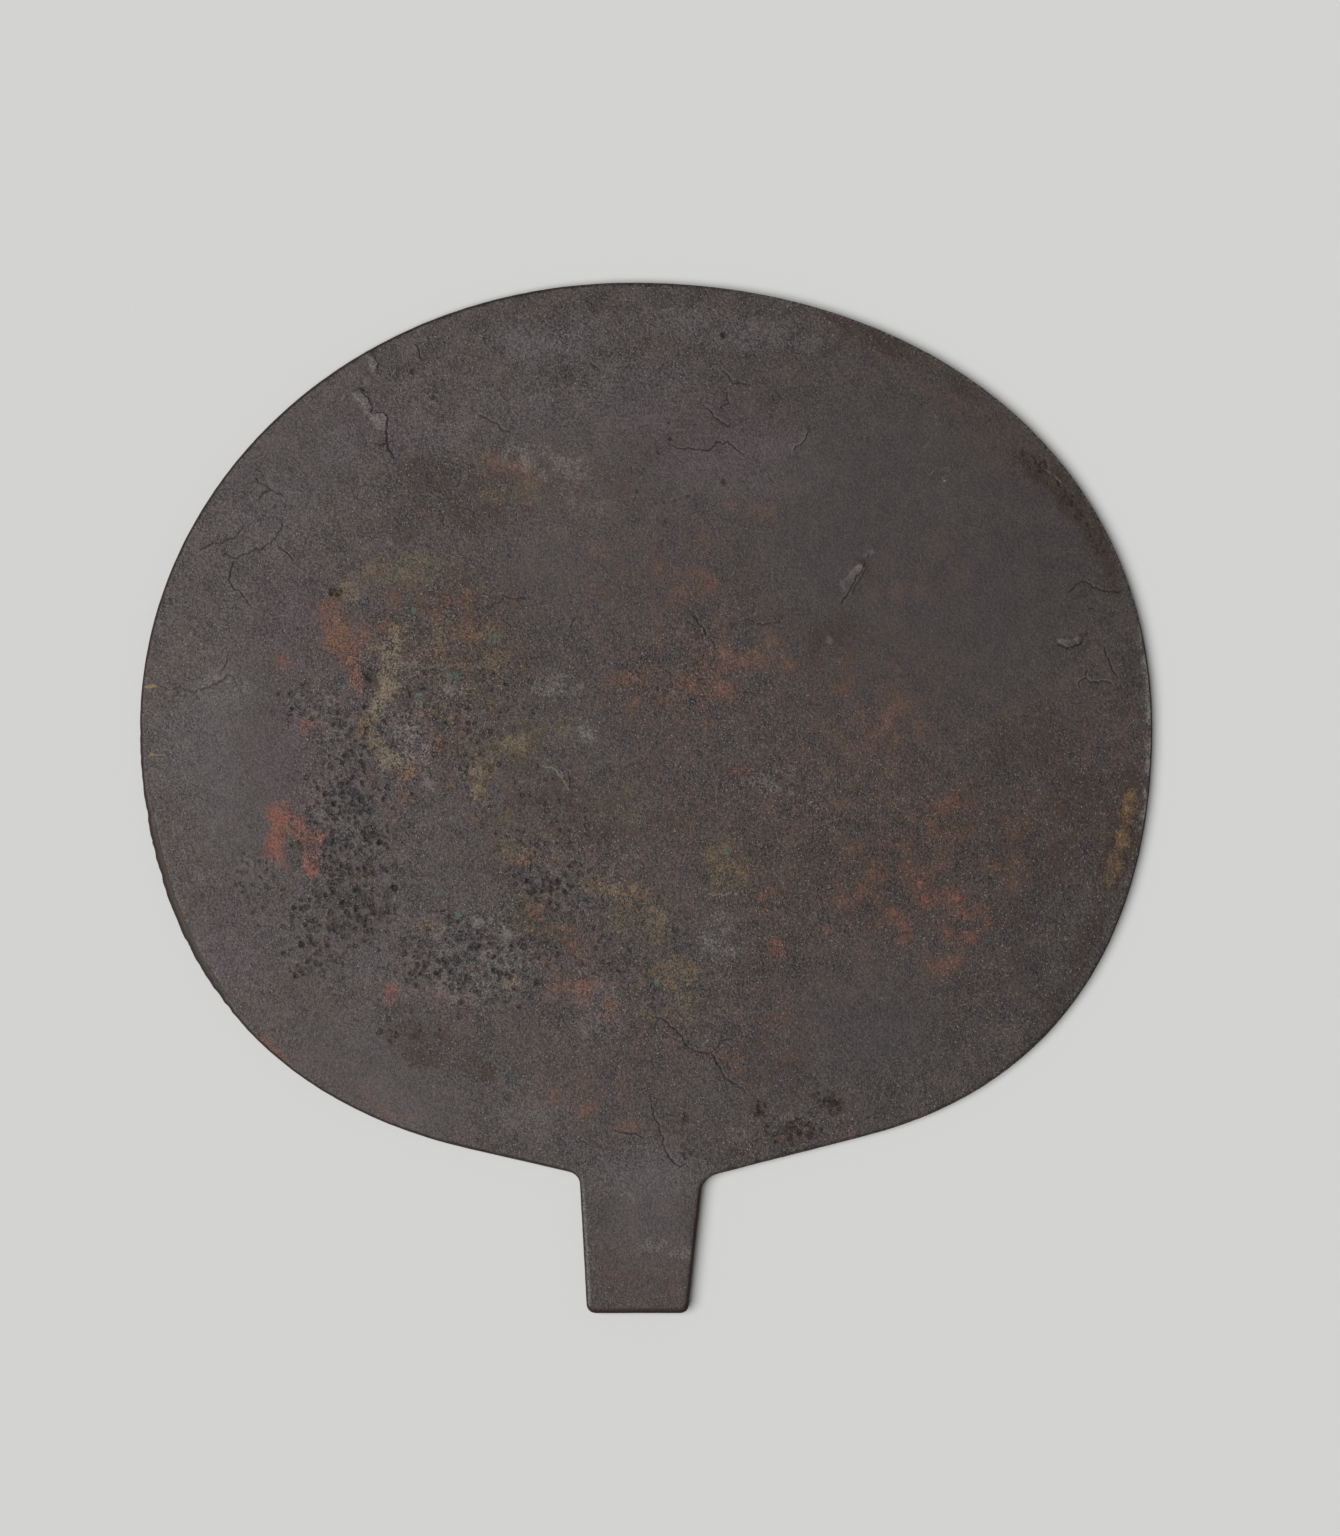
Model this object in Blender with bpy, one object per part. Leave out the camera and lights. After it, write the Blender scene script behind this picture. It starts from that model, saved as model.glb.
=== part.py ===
"""Mirror disc: a flat oval disc of copper alloy with a short tang, one cast and hammered piece.

It lies face up. The origin is under the middle of its outline, on the flat back.
+X is to the right, +Y towards the top of the disc, away from the tang, and +Z out of the mirror face.
"""

import math

import bmesh
import bpy
from mathutils import Vector
from mathutils.geometry import interpolate_bezier

# Disc, measured from its widest line and from the tang's middle line
LEFT_REACH = 0.0718
RIGHT_REACH = 0.0732
DISC_RISE = 0.0639
LEFT_ROOT_DROP = 0.0638
RIGHT_ROOT_DROP = 0.0643
TOP_SHIFT = -0.0012

# Each quarter's swell, as shares of its own width and height: a true ellipse has 0.552 for both
TOP_LEFT_SWELL = (0.572, 0.546)
TOP_RIGHT_SWELL = (0.555, 0.617)
LOW_LEFT_SWELL = (0.898, 0.298)
LOW_RIGHT_SWELL = (0.850, 0.367)

# Nearly straight flanks that run down to the tang
LEFT_FLANK_LENGTH = 0.0160
RIGHT_FLANK_LENGTH = 0.0238
LEFT_FLANK_SLOPE = math.radians(12.8)
RIGHT_FLANK_SLOPE = math.radians(14.3)

# Tang, with its length from its left root
TANG_LENGTH = 0.0199
TANG_ROOT_WIDTH = 0.0177
TANG_TIP_WIDTH = 0.0145
TANG_LEAN = 0.0005
LEFT_FILLET = 0.0019
RIGHT_FILLET = 0.0029
TIP_CORNER = 0.0013

# Thickness, thickest in the middle of the disc, with an even tang
CENTRE_THICKNESS = 0.0024
RIM_THICKNESS = 0.0018
TANG_THICKNESS = 0.0022
TANG_RUNOUT = 0.0120
FACE_EDGE_ROUND = 0.0006
BACK_EDGE_ROUND = 0.0004

# Fineness of the mesh
RIM_STEP = 0.0020
ARC_STEP = math.radians(12)
FACE_STEP = 0.0036
EDGE_ROUND_SEGMENTS = 3
WELD = 0.00001

# Worked out from the sizes above
TIP_Y = -LEFT_ROOT_DROP - TANG_LENGTH
MIDDLE = Vector(((RIGHT_REACH - LEFT_REACH) / 2, (DISC_RISE + TIP_Y) / 2, 0))

PATINA_COLOUR = (0.082, 0.071, 0.070, 1.0)
PATINA_ROUGHNESS = 0.55
PATINA_METALLIC = 0.35


def clear_scene():
    for item in list(bpy.data.objects):
        bpy.data.objects.remove(item, do_unlink=True)


def knot(point, before=(0, 0), after=(0, 0)):
    """A point of the outline with its two handles, given as offsets from it."""
    point = Vector(point)
    return point, point + Vector(before), point + Vector(after)


def rounded_corner(start, corner, end, radius):
    """The two knots of the arc that rounds a corner between straight lines."""
    to_start = (start - corner).normalized()
    to_end = (end - corner).normalized()
    turn = math.pi - to_start.angle(to_end)
    cut = radius * math.tan(turn / 2)
    handle = 4 / 3 * math.tan(turn / 4) * radius
    return [
        knot(corner + to_start * cut, after=-to_start * handle),
        knot(corner + to_end * cut, before=-to_end * handle),
    ]


def flank(root, side, slope, length, reach, swell):
    """Where a straight flank starts, and the handle of the curve that it runs out of."""
    outward = Vector((side * math.cos(slope), math.sin(slope)))
    start = root + outward * length
    return start, outward * swell[0] * (reach - abs(start.x))


def outline_knots():
    """The outline, clockwise from the top of the disc."""
    root_right = Vector((TANG_ROOT_WIDTH / 2, -RIGHT_ROOT_DROP))
    root_left = Vector((-TANG_ROOT_WIDTH / 2, -LEFT_ROOT_DROP))
    tip_right = Vector((TANG_TIP_WIDTH / 2 - TANG_LEAN, TIP_Y))
    tip_left = Vector((-TANG_TIP_WIDTH / 2 - TANG_LEAN, TIP_Y))
    flank_right, low_right = flank(
        root_right, 1, RIGHT_FLANK_SLOPE, RIGHT_FLANK_LENGTH, RIGHT_REACH, LOW_RIGHT_SWELL
    )
    flank_left, low_left = flank(
        root_left, -1, LEFT_FLANK_SLOPE, LEFT_FLANK_LENGTH, LEFT_REACH, LOW_LEFT_SWELL
    )
    return [
        knot(
            (TOP_SHIFT, DISC_RISE),
            before=(-TOP_LEFT_SWELL[0] * (LEFT_REACH + TOP_SHIFT), 0),
            after=(TOP_RIGHT_SWELL[0] * (RIGHT_REACH - TOP_SHIFT), 0),
        ),
        knot(
            (RIGHT_REACH, 0),
            before=(0, TOP_RIGHT_SWELL[1] * DISC_RISE),
            after=(0, LOW_RIGHT_SWELL[1] * flank_right.y),
        ),
        knot(flank_right, before=low_right),
        *rounded_corner(flank_right, root_right, tip_right, RIGHT_FILLET),
        *rounded_corner(root_right, tip_right, tip_left, TIP_CORNER),
        *rounded_corner(tip_right, tip_left, root_left, TIP_CORNER),
        *rounded_corner(tip_left, root_left, flank_left, LEFT_FILLET),
        knot(flank_left, after=low_left),
        knot(
            (-LEFT_REACH, 0),
            before=(0, LOW_LEFT_SWELL[1] * flank_left.y),
            after=(0, TOP_LEFT_SWELL[1] * DISC_RISE),
        ),
    ]


def outline_points():
    """The outline as points, no further apart than RIM_STEP, nor turning more than ARC_STEP."""
    knots = outline_knots()
    points = []
    for (start, _, leave), (end, arrive, _) in zip(knots, knots[1:] + knots[:1]):
        turn = 0
        if leave == start and arrive == end:
            leave, arrive = start.lerp(end, 1 / 3), start.lerp(end, 2 / 3)
        else:
            turn = (leave - start).angle(end - arrive)
        count = math.ceil(max((end - start).length / RIM_STEP, turn / ARC_STEP))
        points += interpolate_bezier(start, leave, arrive, end, count + 1)[:-1]
    return points


def blank():
    """A flat blank of the whole outline, as thick as the middle of the disc."""
    points = outline_points()
    curve = bpy.data.curves.new("disc_outline", "CURVE")
    curve.dimensions = "2D"
    curve.fill_mode = "BOTH"
    curve.extrude = CENTRE_THICKNESS / 2
    spline = curve.splines.new("POLY")
    spline.points.add(len(points) - 1)
    for target, point in zip(spline.points, points):
        target.co = (point.x, point.y, 0, 1)
    spline.use_cyclic_u = True
    outline = bpy.data.objects.new("disc_outline", curve)
    bpy.context.scene.collection.objects.link(outline)
    graph = bpy.context.evaluated_depsgraph_get()
    mesh = bpy.data.meshes.new_from_object(outline.evaluated_get(graph))
    bpy.data.objects.remove(outline)
    return mesh


def is_face_up(face):
    return face.normal.z > 0.99


def is_face_down(face):
    return face.normal.z < -0.99


def round_edges(bm, chosen, size):
    """Rounds the edges between the wall and the chosen flat faces."""
    edges = [e for e in bm.edges if sum(chosen(f) for f in e.link_faces) == 1]
    bmesh.ops.bevel(
        bm,
        geom=edges,
        offset=size,
        offset_type="OFFSET",
        segments=EDGE_ROUND_SEGMENTS,
        profile=0.5,
        affect="EDGES",
    )


def grid_lines(low, high):
    """Evenly spaced places between two limits, no further apart than FACE_STEP."""
    count = math.ceil((high - low) / FACE_STEP)
    return [low + (high - low) * i / count for i in range(1, count)]


def divide_face(bm):
    """Cuts the flat mirror face into a grid, so that it can be crowned."""
    for axis, low, high in (
        (Vector((1, 0, 0)), -LEFT_REACH, RIGHT_REACH),
        (Vector((0, 1, 0)), TIP_Y, DISC_RISE),
    ):
        for place in grid_lines(low, high):
            faces = [f for f in bm.faces if is_face_up(f)]
            edges = {e for f in faces for e in f.edges}
            bmesh.ops.bisect_plane(
                bm, geom=[*faces, *edges], dist=WELD, plane_co=axis * place, plane_no=axis
            )


def ease(share):
    """A smooth step from 0 to 1."""
    share = min(1, max(0, share))
    return share * share * (3 - 2 * share)


def thickness_at(x, y):
    """The plate's thickness: crowned over the disc, and even along the tang."""
    reach = RIGHT_REACH if x > 0 else LEFT_REACH
    height = DISC_RISE if y > 0 else LEFT_ROOT_DROP
    out = min(1, math.hypot(x / reach, y / height))
    disc = RIM_THICKNESS + (CENTRE_THICKNESS - RIM_THICKNESS) * (1 - out * out)
    along = ease((TANG_RUNOUT - LEFT_ROOT_DROP - y) / TANG_RUNOUT)
    across = ease(2 - 2 * abs(x) / TANG_ROOT_WIDTH)
    return disc + (TANG_THICKNESS - disc) * along * across


def crown_face(bm):
    """Lowers everything above the back's rounded edge to the plate's thickness at that place."""
    for vertex in bm.verts:
        if vertex.co.z > BACK_EDGE_ROUND + WELD:
            vertex.co.z -= CENTRE_THICKNESS - thickness_at(vertex.co.x, vertex.co.y)


def patina():
    material = bpy.data.materials.new("dark_bronze_patina")
    material.use_nodes = True
    shader = material.node_tree.nodes["Principled BSDF"]
    shader.inputs["Base Color"].default_value = PATINA_COLOUR
    shader.inputs["Roughness"].default_value = PATINA_ROUGHNESS
    shader.inputs["Metallic"].default_value = PATINA_METALLIC
    return material


def mirror_disc(collection):
    mesh = blank()
    bm = bmesh.new()
    bm.from_mesh(mesh)
    bmesh.ops.remove_doubles(bm, verts=bm.verts, dist=WELD)
    bmesh.ops.translate(bm, verts=bm.verts, vec=(0, 0, CENTRE_THICKNESS / 2))
    bmesh.ops.dissolve_faces(bm, faces=[f for f in bm.faces if is_face_up(f)])
    bmesh.ops.dissolve_faces(bm, faces=[f for f in bm.faces if is_face_down(f)])
    round_edges(bm, is_face_up, FACE_EDGE_ROUND)
    round_edges(bm, is_face_down, BACK_EDGE_ROUND)
    divide_face(bm)
    crown_face(bm)
    bmesh.ops.translate(bm, verts=bm.verts, vec=-MIDDLE)
    bmesh.ops.recalc_face_normals(bm, faces=bm.faces)
    bm.to_mesh(mesh)
    bm.free()
    mesh.name = "mirror_disc"
    mesh.shade_smooth()
    mesh.set_sharp_from_angle(angle=math.radians(40))
    mesh.materials.append(patina())
    disc = bpy.data.objects.new("mirror_disc", mesh)
    collection.objects.link(disc)
    return disc


def main():
    clear_scene()
    collection = bpy.data.collections.new("mirror_disc")
    bpy.context.scene.collection.children.link(collection)
    mirror_disc(collection)


main()
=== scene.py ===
"""The looks of an ancient hand-mirror disc: one cast plate with a dark, stained and cracked patina.

The plate lies face up. X runs to the right, Y up towards the top of the disc, and Z out of its face.
Places on the plate are in millimetres from the middle of its outline, across and up, and its sizes
are in millimetres too. Those of the floor, the lens and the bump are in metres.
"""

import math
from typing import NamedTuple

import bpy
import numpy as np
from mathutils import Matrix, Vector
from mathutils.bvhtree import BVHTree
from mathutils.geometry import delaunay_2d_cdt
from mathutils.kdtree import KDTree


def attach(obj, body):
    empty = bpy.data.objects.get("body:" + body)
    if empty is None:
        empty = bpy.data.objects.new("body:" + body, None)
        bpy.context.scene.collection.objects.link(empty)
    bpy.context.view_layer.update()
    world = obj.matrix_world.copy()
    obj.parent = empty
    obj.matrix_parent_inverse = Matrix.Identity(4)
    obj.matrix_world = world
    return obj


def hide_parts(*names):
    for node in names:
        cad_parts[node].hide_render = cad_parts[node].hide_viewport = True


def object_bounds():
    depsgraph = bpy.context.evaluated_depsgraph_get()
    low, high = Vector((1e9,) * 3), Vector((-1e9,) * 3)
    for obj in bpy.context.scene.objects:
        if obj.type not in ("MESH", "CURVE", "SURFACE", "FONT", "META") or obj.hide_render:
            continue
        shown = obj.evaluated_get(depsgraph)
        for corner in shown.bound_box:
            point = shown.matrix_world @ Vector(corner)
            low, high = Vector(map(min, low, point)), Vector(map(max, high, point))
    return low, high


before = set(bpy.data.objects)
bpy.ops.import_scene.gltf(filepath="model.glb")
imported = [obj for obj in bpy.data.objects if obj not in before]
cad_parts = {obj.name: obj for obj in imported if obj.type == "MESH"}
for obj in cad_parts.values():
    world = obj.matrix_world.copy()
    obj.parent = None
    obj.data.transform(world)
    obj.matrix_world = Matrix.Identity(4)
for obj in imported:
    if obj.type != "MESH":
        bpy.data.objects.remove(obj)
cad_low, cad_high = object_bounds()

NODE = "mirror_disc"
MM = 0.001

# Camera and light. The picture's middle and height are those at the level of the rim
PICTURE_MIDDLE = (3.44, 4.26)
PICTURE_HEIGHT = 220.1
RIM_LEVEL = 1.0
LENS = 0.100
SENSOR = 0.036
LIGHT_HEADING = math.radians(197)
LIGHT_RISE = math.radians(63)
LIGHT_SPREAD = math.radians(55)
LIGHT_STRENGTH = 2.76
SKY = (0.125, 0.125, 0.127, 1)
BACKDROP = (0.65, 0.65, 0.637, 1)
FLOOR_SIZE = 36.0
FLOOR_GAP = 0.00003
FLOOR_COLOUR = (0.72, 0.72, 0.705, 1)
FLOOR_ROUGHNESS = 0.9

# Fineness of the plate's mesh. The lattices reach past the plate on every side
OUTLINE_STEP = 0.36
CURVE_PARTS = 16
FACE_STEP = 0.92
FACE_LEVELS = 3
FACE_SHAKE = 0.12
BACK_STEP = 2.0
NEED_CELL = 0.2
REACH = 80

# Rim, measured inwards from the outline
ROUND = 0.60
SHARP_ROUND = 0.32
ROUND_STEPS = 5
BACK_ROUND = 0.40
BACK_ROUND_STEPS = 3
FACE_INSET = 1.25
BACK_INSET = 1.0
BEVEL_EXTRA_WIDTH = 0.55
BEVEL_EXTRA_DROP = 0.30
DISC_MIDDLE = (-0.5, 8.0)
TANG_TOP = -56
TANG_END = -72.5

# Stretches of the rim: the headings in degrees where each starts and ends, and over which it fades
RAGGED_RIM = (180, 214, 8)
BEVELLED_RIM = (187, 212, 8)
# Where the lower left bevel carries painted shade, in brown
SHADED_BEVEL_RIM = (188, 212, 8)
# Where the painted shade along the outline is wider
SHADE_LINED_RIM = (100, 262, 8)
SHARP_RIM = (-30, 80, 20)
UPPER_RIGHT_RIM = (15, 80, 10)
# Where the right rim's pale band lies, partly wear and partly painted sheen
WORN_SHEEN_RIM = (350, 372, 5)

# Bands along the rim, of painted shade and of pale wear with painted sheen and highlights: how far in they
# reach, and for the pale ones where their middle is
BEVEL_SHADE_WIDTH = 1.25
RIM_SHADE_WIDTH = 0.2
LINED_SHADE_WIDTH = 0.2
TANG_SHADE_WIDTH = 0.75
TANG_END_SHADE_WIDTH = 0.9
# The right rim's pale band is partly wear and partly painted sheen
WORN_MIDDLE = 0.52
WORN_HALF_WIDTH = 0.42
# The pale band on the tang's left side is a painted highlight
TANG_HIGHLIGHT_MIDDLE = 0.45
TANG_HIGHLIGHT_HALF_WIDTH = 0.4

# Unevenness of the surface, as heights, and how far the edges of pits and other wear wander
LONG_WAVES = 0.030
LONG_WAVE_SIZE = 14
SHORT_WAVES = 0.012
SHORT_WAVE_SIZE = 3
ROUGH_RIM = 0.02
BACK_HOLLOWS = 0.05
EDGE_WANDER = 0.16
EDGE_WANDER_SIZE = 0.8

# How far the edges of stains wander, in long and in short bends
LONG_BEND = 1.1
LONG_BEND_SIZE = 5
SHORT_BEND = 0.35
SHORT_BEND_SIZE = 1.2
SMALL_PATCH = 2.2

# Cracks: half of their width, the rows of points beside them, and the room kept free of other points
CRACK_HALF_WIDTH = 0.10
CRACK_ROWS = (CRACK_HALF_WIDTH, 0.24, 0.46)
CRACK_CLEAR = 0.62
CRACK_RIM_GAP = 0.2

# Grain and gloss of the patina
NEAR_CLOUD_SIZE = 5
WIDE_CLOUD_SIZE = 14
SMALL_GRAIN = 0.19
LARGE_GRAIN = 0.62
BACK_GRAIN = 0.5
FINE_PIT_SIZE = 1.15
METALLIC = 0.1
SPECULAR = 0.3
BUMP_HEIGHT = 0.00007
WALL_SLANT = (0.7, 0.6, 0.0)

# Seeds of the random draws, and of each kind of cloud
RANDOM_SEED = 41
EDGE_SEEDS = (201, 202)
WAVE_SEEDS = (211, 221)
LONG_BEND_SEEDS = (301, 311)
SHORT_BEND_SEEDS = (305, 315)
BEVEL_SEED = 401
RIM_LINE_SEED = 405
BEAD_SEED = 411
ROUGH_RIM_SEED = 421
HOLLOW_SEEDS = (431, 435)
NEAR_CLOUD_SEED = 501
WIDE_CLOUD_SEED = 511


class Blot(NamedTuple):
    """A soft-edged oval patch: its place, its half sizes, its turn in degrees and its strength."""

    across: float
    up: float
    wide: float
    tall: float
    turn: float
    strength: float


class PitField(NamedTuple):
    """An oval field of corrosion pits, large ones in the mesh and fine ones between them."""

    across: float
    up: float
    wide: float
    tall: float
    turn: float
    count: int
    smallest: float
    largest: float
    darkness: float
    density: float


class Crack(NamedTuple):
    """A crack in the patina. A lip above 0 lifts the side left of the route, and below 0 the right."""

    route: tuple
    depth: float = 0.14
    lip: float = 0.03
    lip_reach: float = 0.6
    darkness: float = 1


class Wart(NamedTuple):
    """A blister, a ring of crust with a hollow middle, or with a height below 0 a lone pit."""

    across: float
    up: float
    radius: float
    height: float
    hollow: float = 0


class Scratch(NamedTuple):
    """A thin pale line on the surface."""

    route: tuple
    half_width: float
    strength: float


class Flake(NamedTuple):
    """A raised flake of patina: its edge, clockwise, its height and how pale it is."""

    edge: tuple
    height: float
    paleness: float


RED = (
    Blot(-48.3, 10.1, 0.9, 1.1, 0, 0.8),
    Blot(-51.4, 19.0, 1.3, 1.8, 0, 0.35),
    Blot(26.1, -18.8, 1.3, 1.0, 0, 0.8),
    Blot(18.9, -21.8, 1.3, 1.3, 0, 0.8),
    Blot(-36.0, -28.8, 1.2, 1.4, 0, 0.8),
    Blot(-14.8, -16.6, 2.2, 1.6, 0, 0.25),
    Blot(-8.4, -27.0, 1.6, 2.6, 10, 0.2),
    Blot(-11.7, -18.7, 1.7, 0.9, 0, 0.3),
    Blot(13.0, 3.5, 1.4, 0.9, 0, 0.6),
    Blot(-41.2, 18.2, 0.9, 3.6, 8, 0.95),
    Blot(42.0, -15.0, 4.4, 3.0, -20, 0.45),
    Blot(45.4, -20.0, 2.8, 4.4, 0, 0.45),
    Blot(36.0, -19.5, 2.4, 3.0, 0, 0.5),
    Blot(41.0, -25.0, 4.0, 2.4, 0, 0.05),
    Blot(43.0, -6.0, 3.4, 2.6, 0, 0.1),
    Blot(-51.6, -4.6, 1.3, 0.8, 30, 1.1),
    Blot(-53.1, -7.3, 1.5, 1.6, 0, 1.3),
    Blot(-51.6, -9.4, 0.7, 1.0, 20, 0.5),
    Blot(47.7, -17.6, 1.8, 2.0, 0, 0.6),
    Blot(-52.2, -2.2, 2.0, 1.5, -15, 1.3),
    Blot(-50.2, -3.3, 1.4, 1.0, -35, 1.6),
    Blot(-52.3, -5.0, 1.0, 1.0, 0, 1.2),
    Blot(-49.4, -4.9, 2.4, 0.7, -5, 1.5),
    Blot(-47.3, -5.5, 1.1, 1.2, 0, 1.6),
    Blot(-47.6, -8.8, 0.8, 1.7, -8, 1.6),
    Blot(36.1, -19.7, 1.6, 1.4, 0, 0.5),
)

RUST = (
    Blot(-37.0, -44.2, 4.2, 1.5, -25, 0.6),
    Blot(27.9, -47.9, 1.9, 1.0, 17, 0.6),
    Blot(-10.2, -24.4, 5.6, 7.4, 0, 0.42),
    Blot(-7.0, -43.0, 5.0, 2.6, -12, 0.42),
    Blot(-16.0, -42.0, 4.0, 2.2, 0, 0.36),
    Blot(35.4, -19.0, 2.7, 3.4, 0, 0.3),
    Blot(40.7, -13.6, 4.6, 2.4, 0, 0.5),
    Blot(45.6, -17.6, 3.0, 4.6, 0, 0.54),
    Blot(41.0, -24.0, 5.6, 3.0, 0, 0.45),
    Blot(30.0, -14.0, 5.0, 4.0, 0, 0.36),
    Blot(42.6, -3.0, 6.6, 4.4, 20, 0.48),
    Blot(31.0, -4.0, 6.0, 6.0, 0, 0.36),
    Blot(43.2, 34.8, 1.8, 4.4, 12, 0.32),
    Blot(36.0, 29.4, 5.4, 2.0, 0, 0.3),
    Blot(34.0, 12.0, 6.6, 8.0, 0, 0.3),
    Blot(28.0, 18.0, 4.0, 4.0, 0, 0.3),
    Blot(7.2, 30.2, 6.4, 3.4, -32, 0.54),
    Blot(5.0, 17.0, 10.0, 6.6, 0, 0.48),
    Blot(17.0, 20.0, 4.0, 5.0, 20, 0.36),
    Blot(-39.0, 24.5, 3.0, 3.6, 0, 0.8),
    Blot(-30.0, 9.0, 4.0, 4.0, 0, 0.36),
    Blot(55.0, -3.0, 5.0, 5.0, 0, 0.27),
    Blot(20.0, -33.0, 5.0, 5.0, 0, 0.36),
    Blot(47.0, 54.5, 6.0, 3.0, -35, 0.12),
    Blot(0.0, -69.0, 7.0, 4.0, 0, 0.05),
    Blot(-28.0, -31.0, 5.0, 3.0, -10, 0.42),
    Blot(62.0, 20.4, 3.0, 1.4, -10, 0.36),
    Blot(-20.0, 47.0, 6.0, 3.0, -10, 0.36),
    Blot(-38.0, 41.0, 3.0, 3.0, 0, 0.12),
    Blot(-31.0, 28.4, 6.4, 2.2, -5, 0.75),
    Blot(-25.6, 24.4, 5.0, 3.8, 0, 0.6),
    Blot(-18.6, 20.0, 2.4, 3.6, 20, 0.5),
    Blot(-31.0, 22.0, 3.6, 3.0, 0, 0.6),
    Blot(-29.0, 16.5, 3.4, 2.6, 0, 0.4),
    Blot(-33.6, 6.0, 2.0, 2.0, 0, 0.3),
    Blot(-2.9, -47.2, 1.6, 0.7, 0, 0.9),
    Blot(-38.0, 32.2, 3.0, 1.3, 20, 0.4),
    Blot(35.0, -10.0, 4.5, 4.0, 0, 0.45),
    Blot(43.0, -10.0, 4.0, 4.0, 0, 0.4),
    Blot(52.0, -10.0, 4.0, 4.0, 0, 0.35),
    Blot(-33.0, 24.0, 3.0, 2.5, 0, 0.6),
    Blot(15.4, 41.2, 3.8, 1.2, -10, 0.5),
)

ORANGE = (
    Blot(-53.7, -36.2, 2.8, 0.9, -38, 0.85),
    Blot(-9.4, -43.2, 2.7, 1.9, -20, 0.2),
    Blot(-6.7, 35.4, 1.1, 1.0, 0, 0.94),
    Blot(-1.3, 17.0, 2.0, 0.9, 5, 0.85),
    Blot(-24.2, -3.0, 1.0, 1.0, 0, 0.94),
    Blot(7.9, 16.4, 1.7, 3.6, 0, 0.68),
    Blot(43.8, -1.2, 1.4, 1.3, 0, 0.42),
    Blot(8.3, 31.5, 1.5, 1.1, 0, 0.59),
    Blot(15.5, 19.5, 2.2, 1.7, 30, 0.42),
    Blot(-15.0, -8.6, 2.6, 1.0, 0, 0.68),
    Blot(17.6, -14.2, 2.4, 1.8, 0, 0.59),
    Blot(-34.0, 0.0, 1.4, 1.2, 0, 0.51),
    Blot(-5.0, -30.0, 1.6, 1.4, 0, 0.51),
    Blot(12.0, -37.5, 3.0, 1.6, -20, 0.51),
    Blot(-45.2, 26.6, 1.9, 2.6, 0, 1.3),
    Blot(-44.0, 22.8, 1.7, 2.2, 0, 1.3),
    Blot(-42.6, 20.4, 1.2, 1.8, 0, 1.0),
    Blot(-34.4, 3.2, 1.0, 0.9, 0, 1.0),
    Blot(69.3, -1.2, 0.9, 2.4, 0, 0.5),
    Blot(67.6, -8.6, 0.8, 2.4, -16, 0.4),
    Blot(-40.6, 10.0, 0.7, 1.8, -10, 0.8),
    Blot(-39.2, 7.4, 0.6, 1.6, 28, 0.6),
    Blot(68.8, -1.5, 1.0, 0.8, 30, 0.7),
    Blot(67.9, -5.4, 0.6, 1.2, 0, 0.6),
)

OCHRE = (
    Blot(-19.8, 7.0, 2.9, 1.3, 28, 1.3),
    Blot(-24.0, 2.8, 1.1, 3.0, 5, 1.1),
    Blot(-17.0, 44.6, 2.2, 1.8, 30, 1.0),
    Blot(-16.8, 47.6, 2.4, 0.9, 0, 0.35),
    Blot(-6.6, -12.6, 2.6, 1.0, -10, 0.81),
    Blot(-1.8, -13.6, 3.0, 1.5, 0, 0.9),
    Blot(1.4, -16.6, 2.0, 2.4, 0, 0.9),
    Blot(11.6, -8.6, 3.6, 2.4, 0, 0.63),
    Blot(13.6, -12.0, 2.4, 1.8, 0, 0.54),
    Blot(-18.0, -8.0, 2.6, 1.0, 0, 0.54),
    Blot(16.2, 41.0, 4.2, 1.0, -10, 0.3),
    Blot(69.4, -0.8, 0.9, 2.8, 0, 1.1),
    Blot(68.4, -6.0, 0.8, 2.2, -14, 1.0),
    Blot(67.2, -9.4, 0.8, 2.4, -20, 0.9),
    Blot(3.5, -25.0, 4.0, 2.4, 0, 0.45),
    Blot(-28.0, -30.0, 1.4, 1.2, 0, 0.54),
    Blot(-19.5, -26.3, 1.0, 0.9, 0, 0.81),
    Blot(-22.0, 21.0, 1.6, 4.6, 20, 0.54),
    Blot(-31.0, -18.6, 2.0, 1.0, 0, 0.36),
    Blot(-42.3, 29.8, 1.7, 1.7, 0, 0.9),
    Blot(-39.5, 32.0, 2.5, 1.4, 30, 0.5),
    Blot(-35.5, 33.3, 2.8, 1.4, 5, 0.8),
    Blot(-31.0, 32.5, 3.0, 1.6, -15, 0.3),
    Blot(-27.0, 30.6, 2.6, 1.5, -30, 0.5),
    Blot(-24.0, 28.2, 2.0, 1.4, -40, 0.4),
    Blot(-22.6, 4.6, 1.0, 2.6, 0, 0.7),
    Blot(-36.4, 21.5, 1.1, 2.6, 0, 1.0),
    Blot(-36.2, 17.2, 1.0, 2.4, 0, 1.3),
    Blot(-38.4, 13.2, 1.0, 2.0, -30, 1.1),
    Blot(-40.1, 10.4, 0.9, 1.8, -10, 1.0),
    Blot(-38.6, 7.6, 0.9, 2.2, 28, 1.2),
    Blot(-36.2, 5.0, 1.1, 1.4, 45, 1.1),
    Blot(-34.4, 3.6, 1.1, 0.9, 0, 1.4),
    Blot(-20.6, 43.4, 2.6, 1.2, 10, 0.5),
    Blot(-23.5, 49.0, 5.0, 1.2, -8, 0.4),
    Blot(-42.0, 31.2, 2.6, 1.3, 35, 0.6),
)

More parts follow.
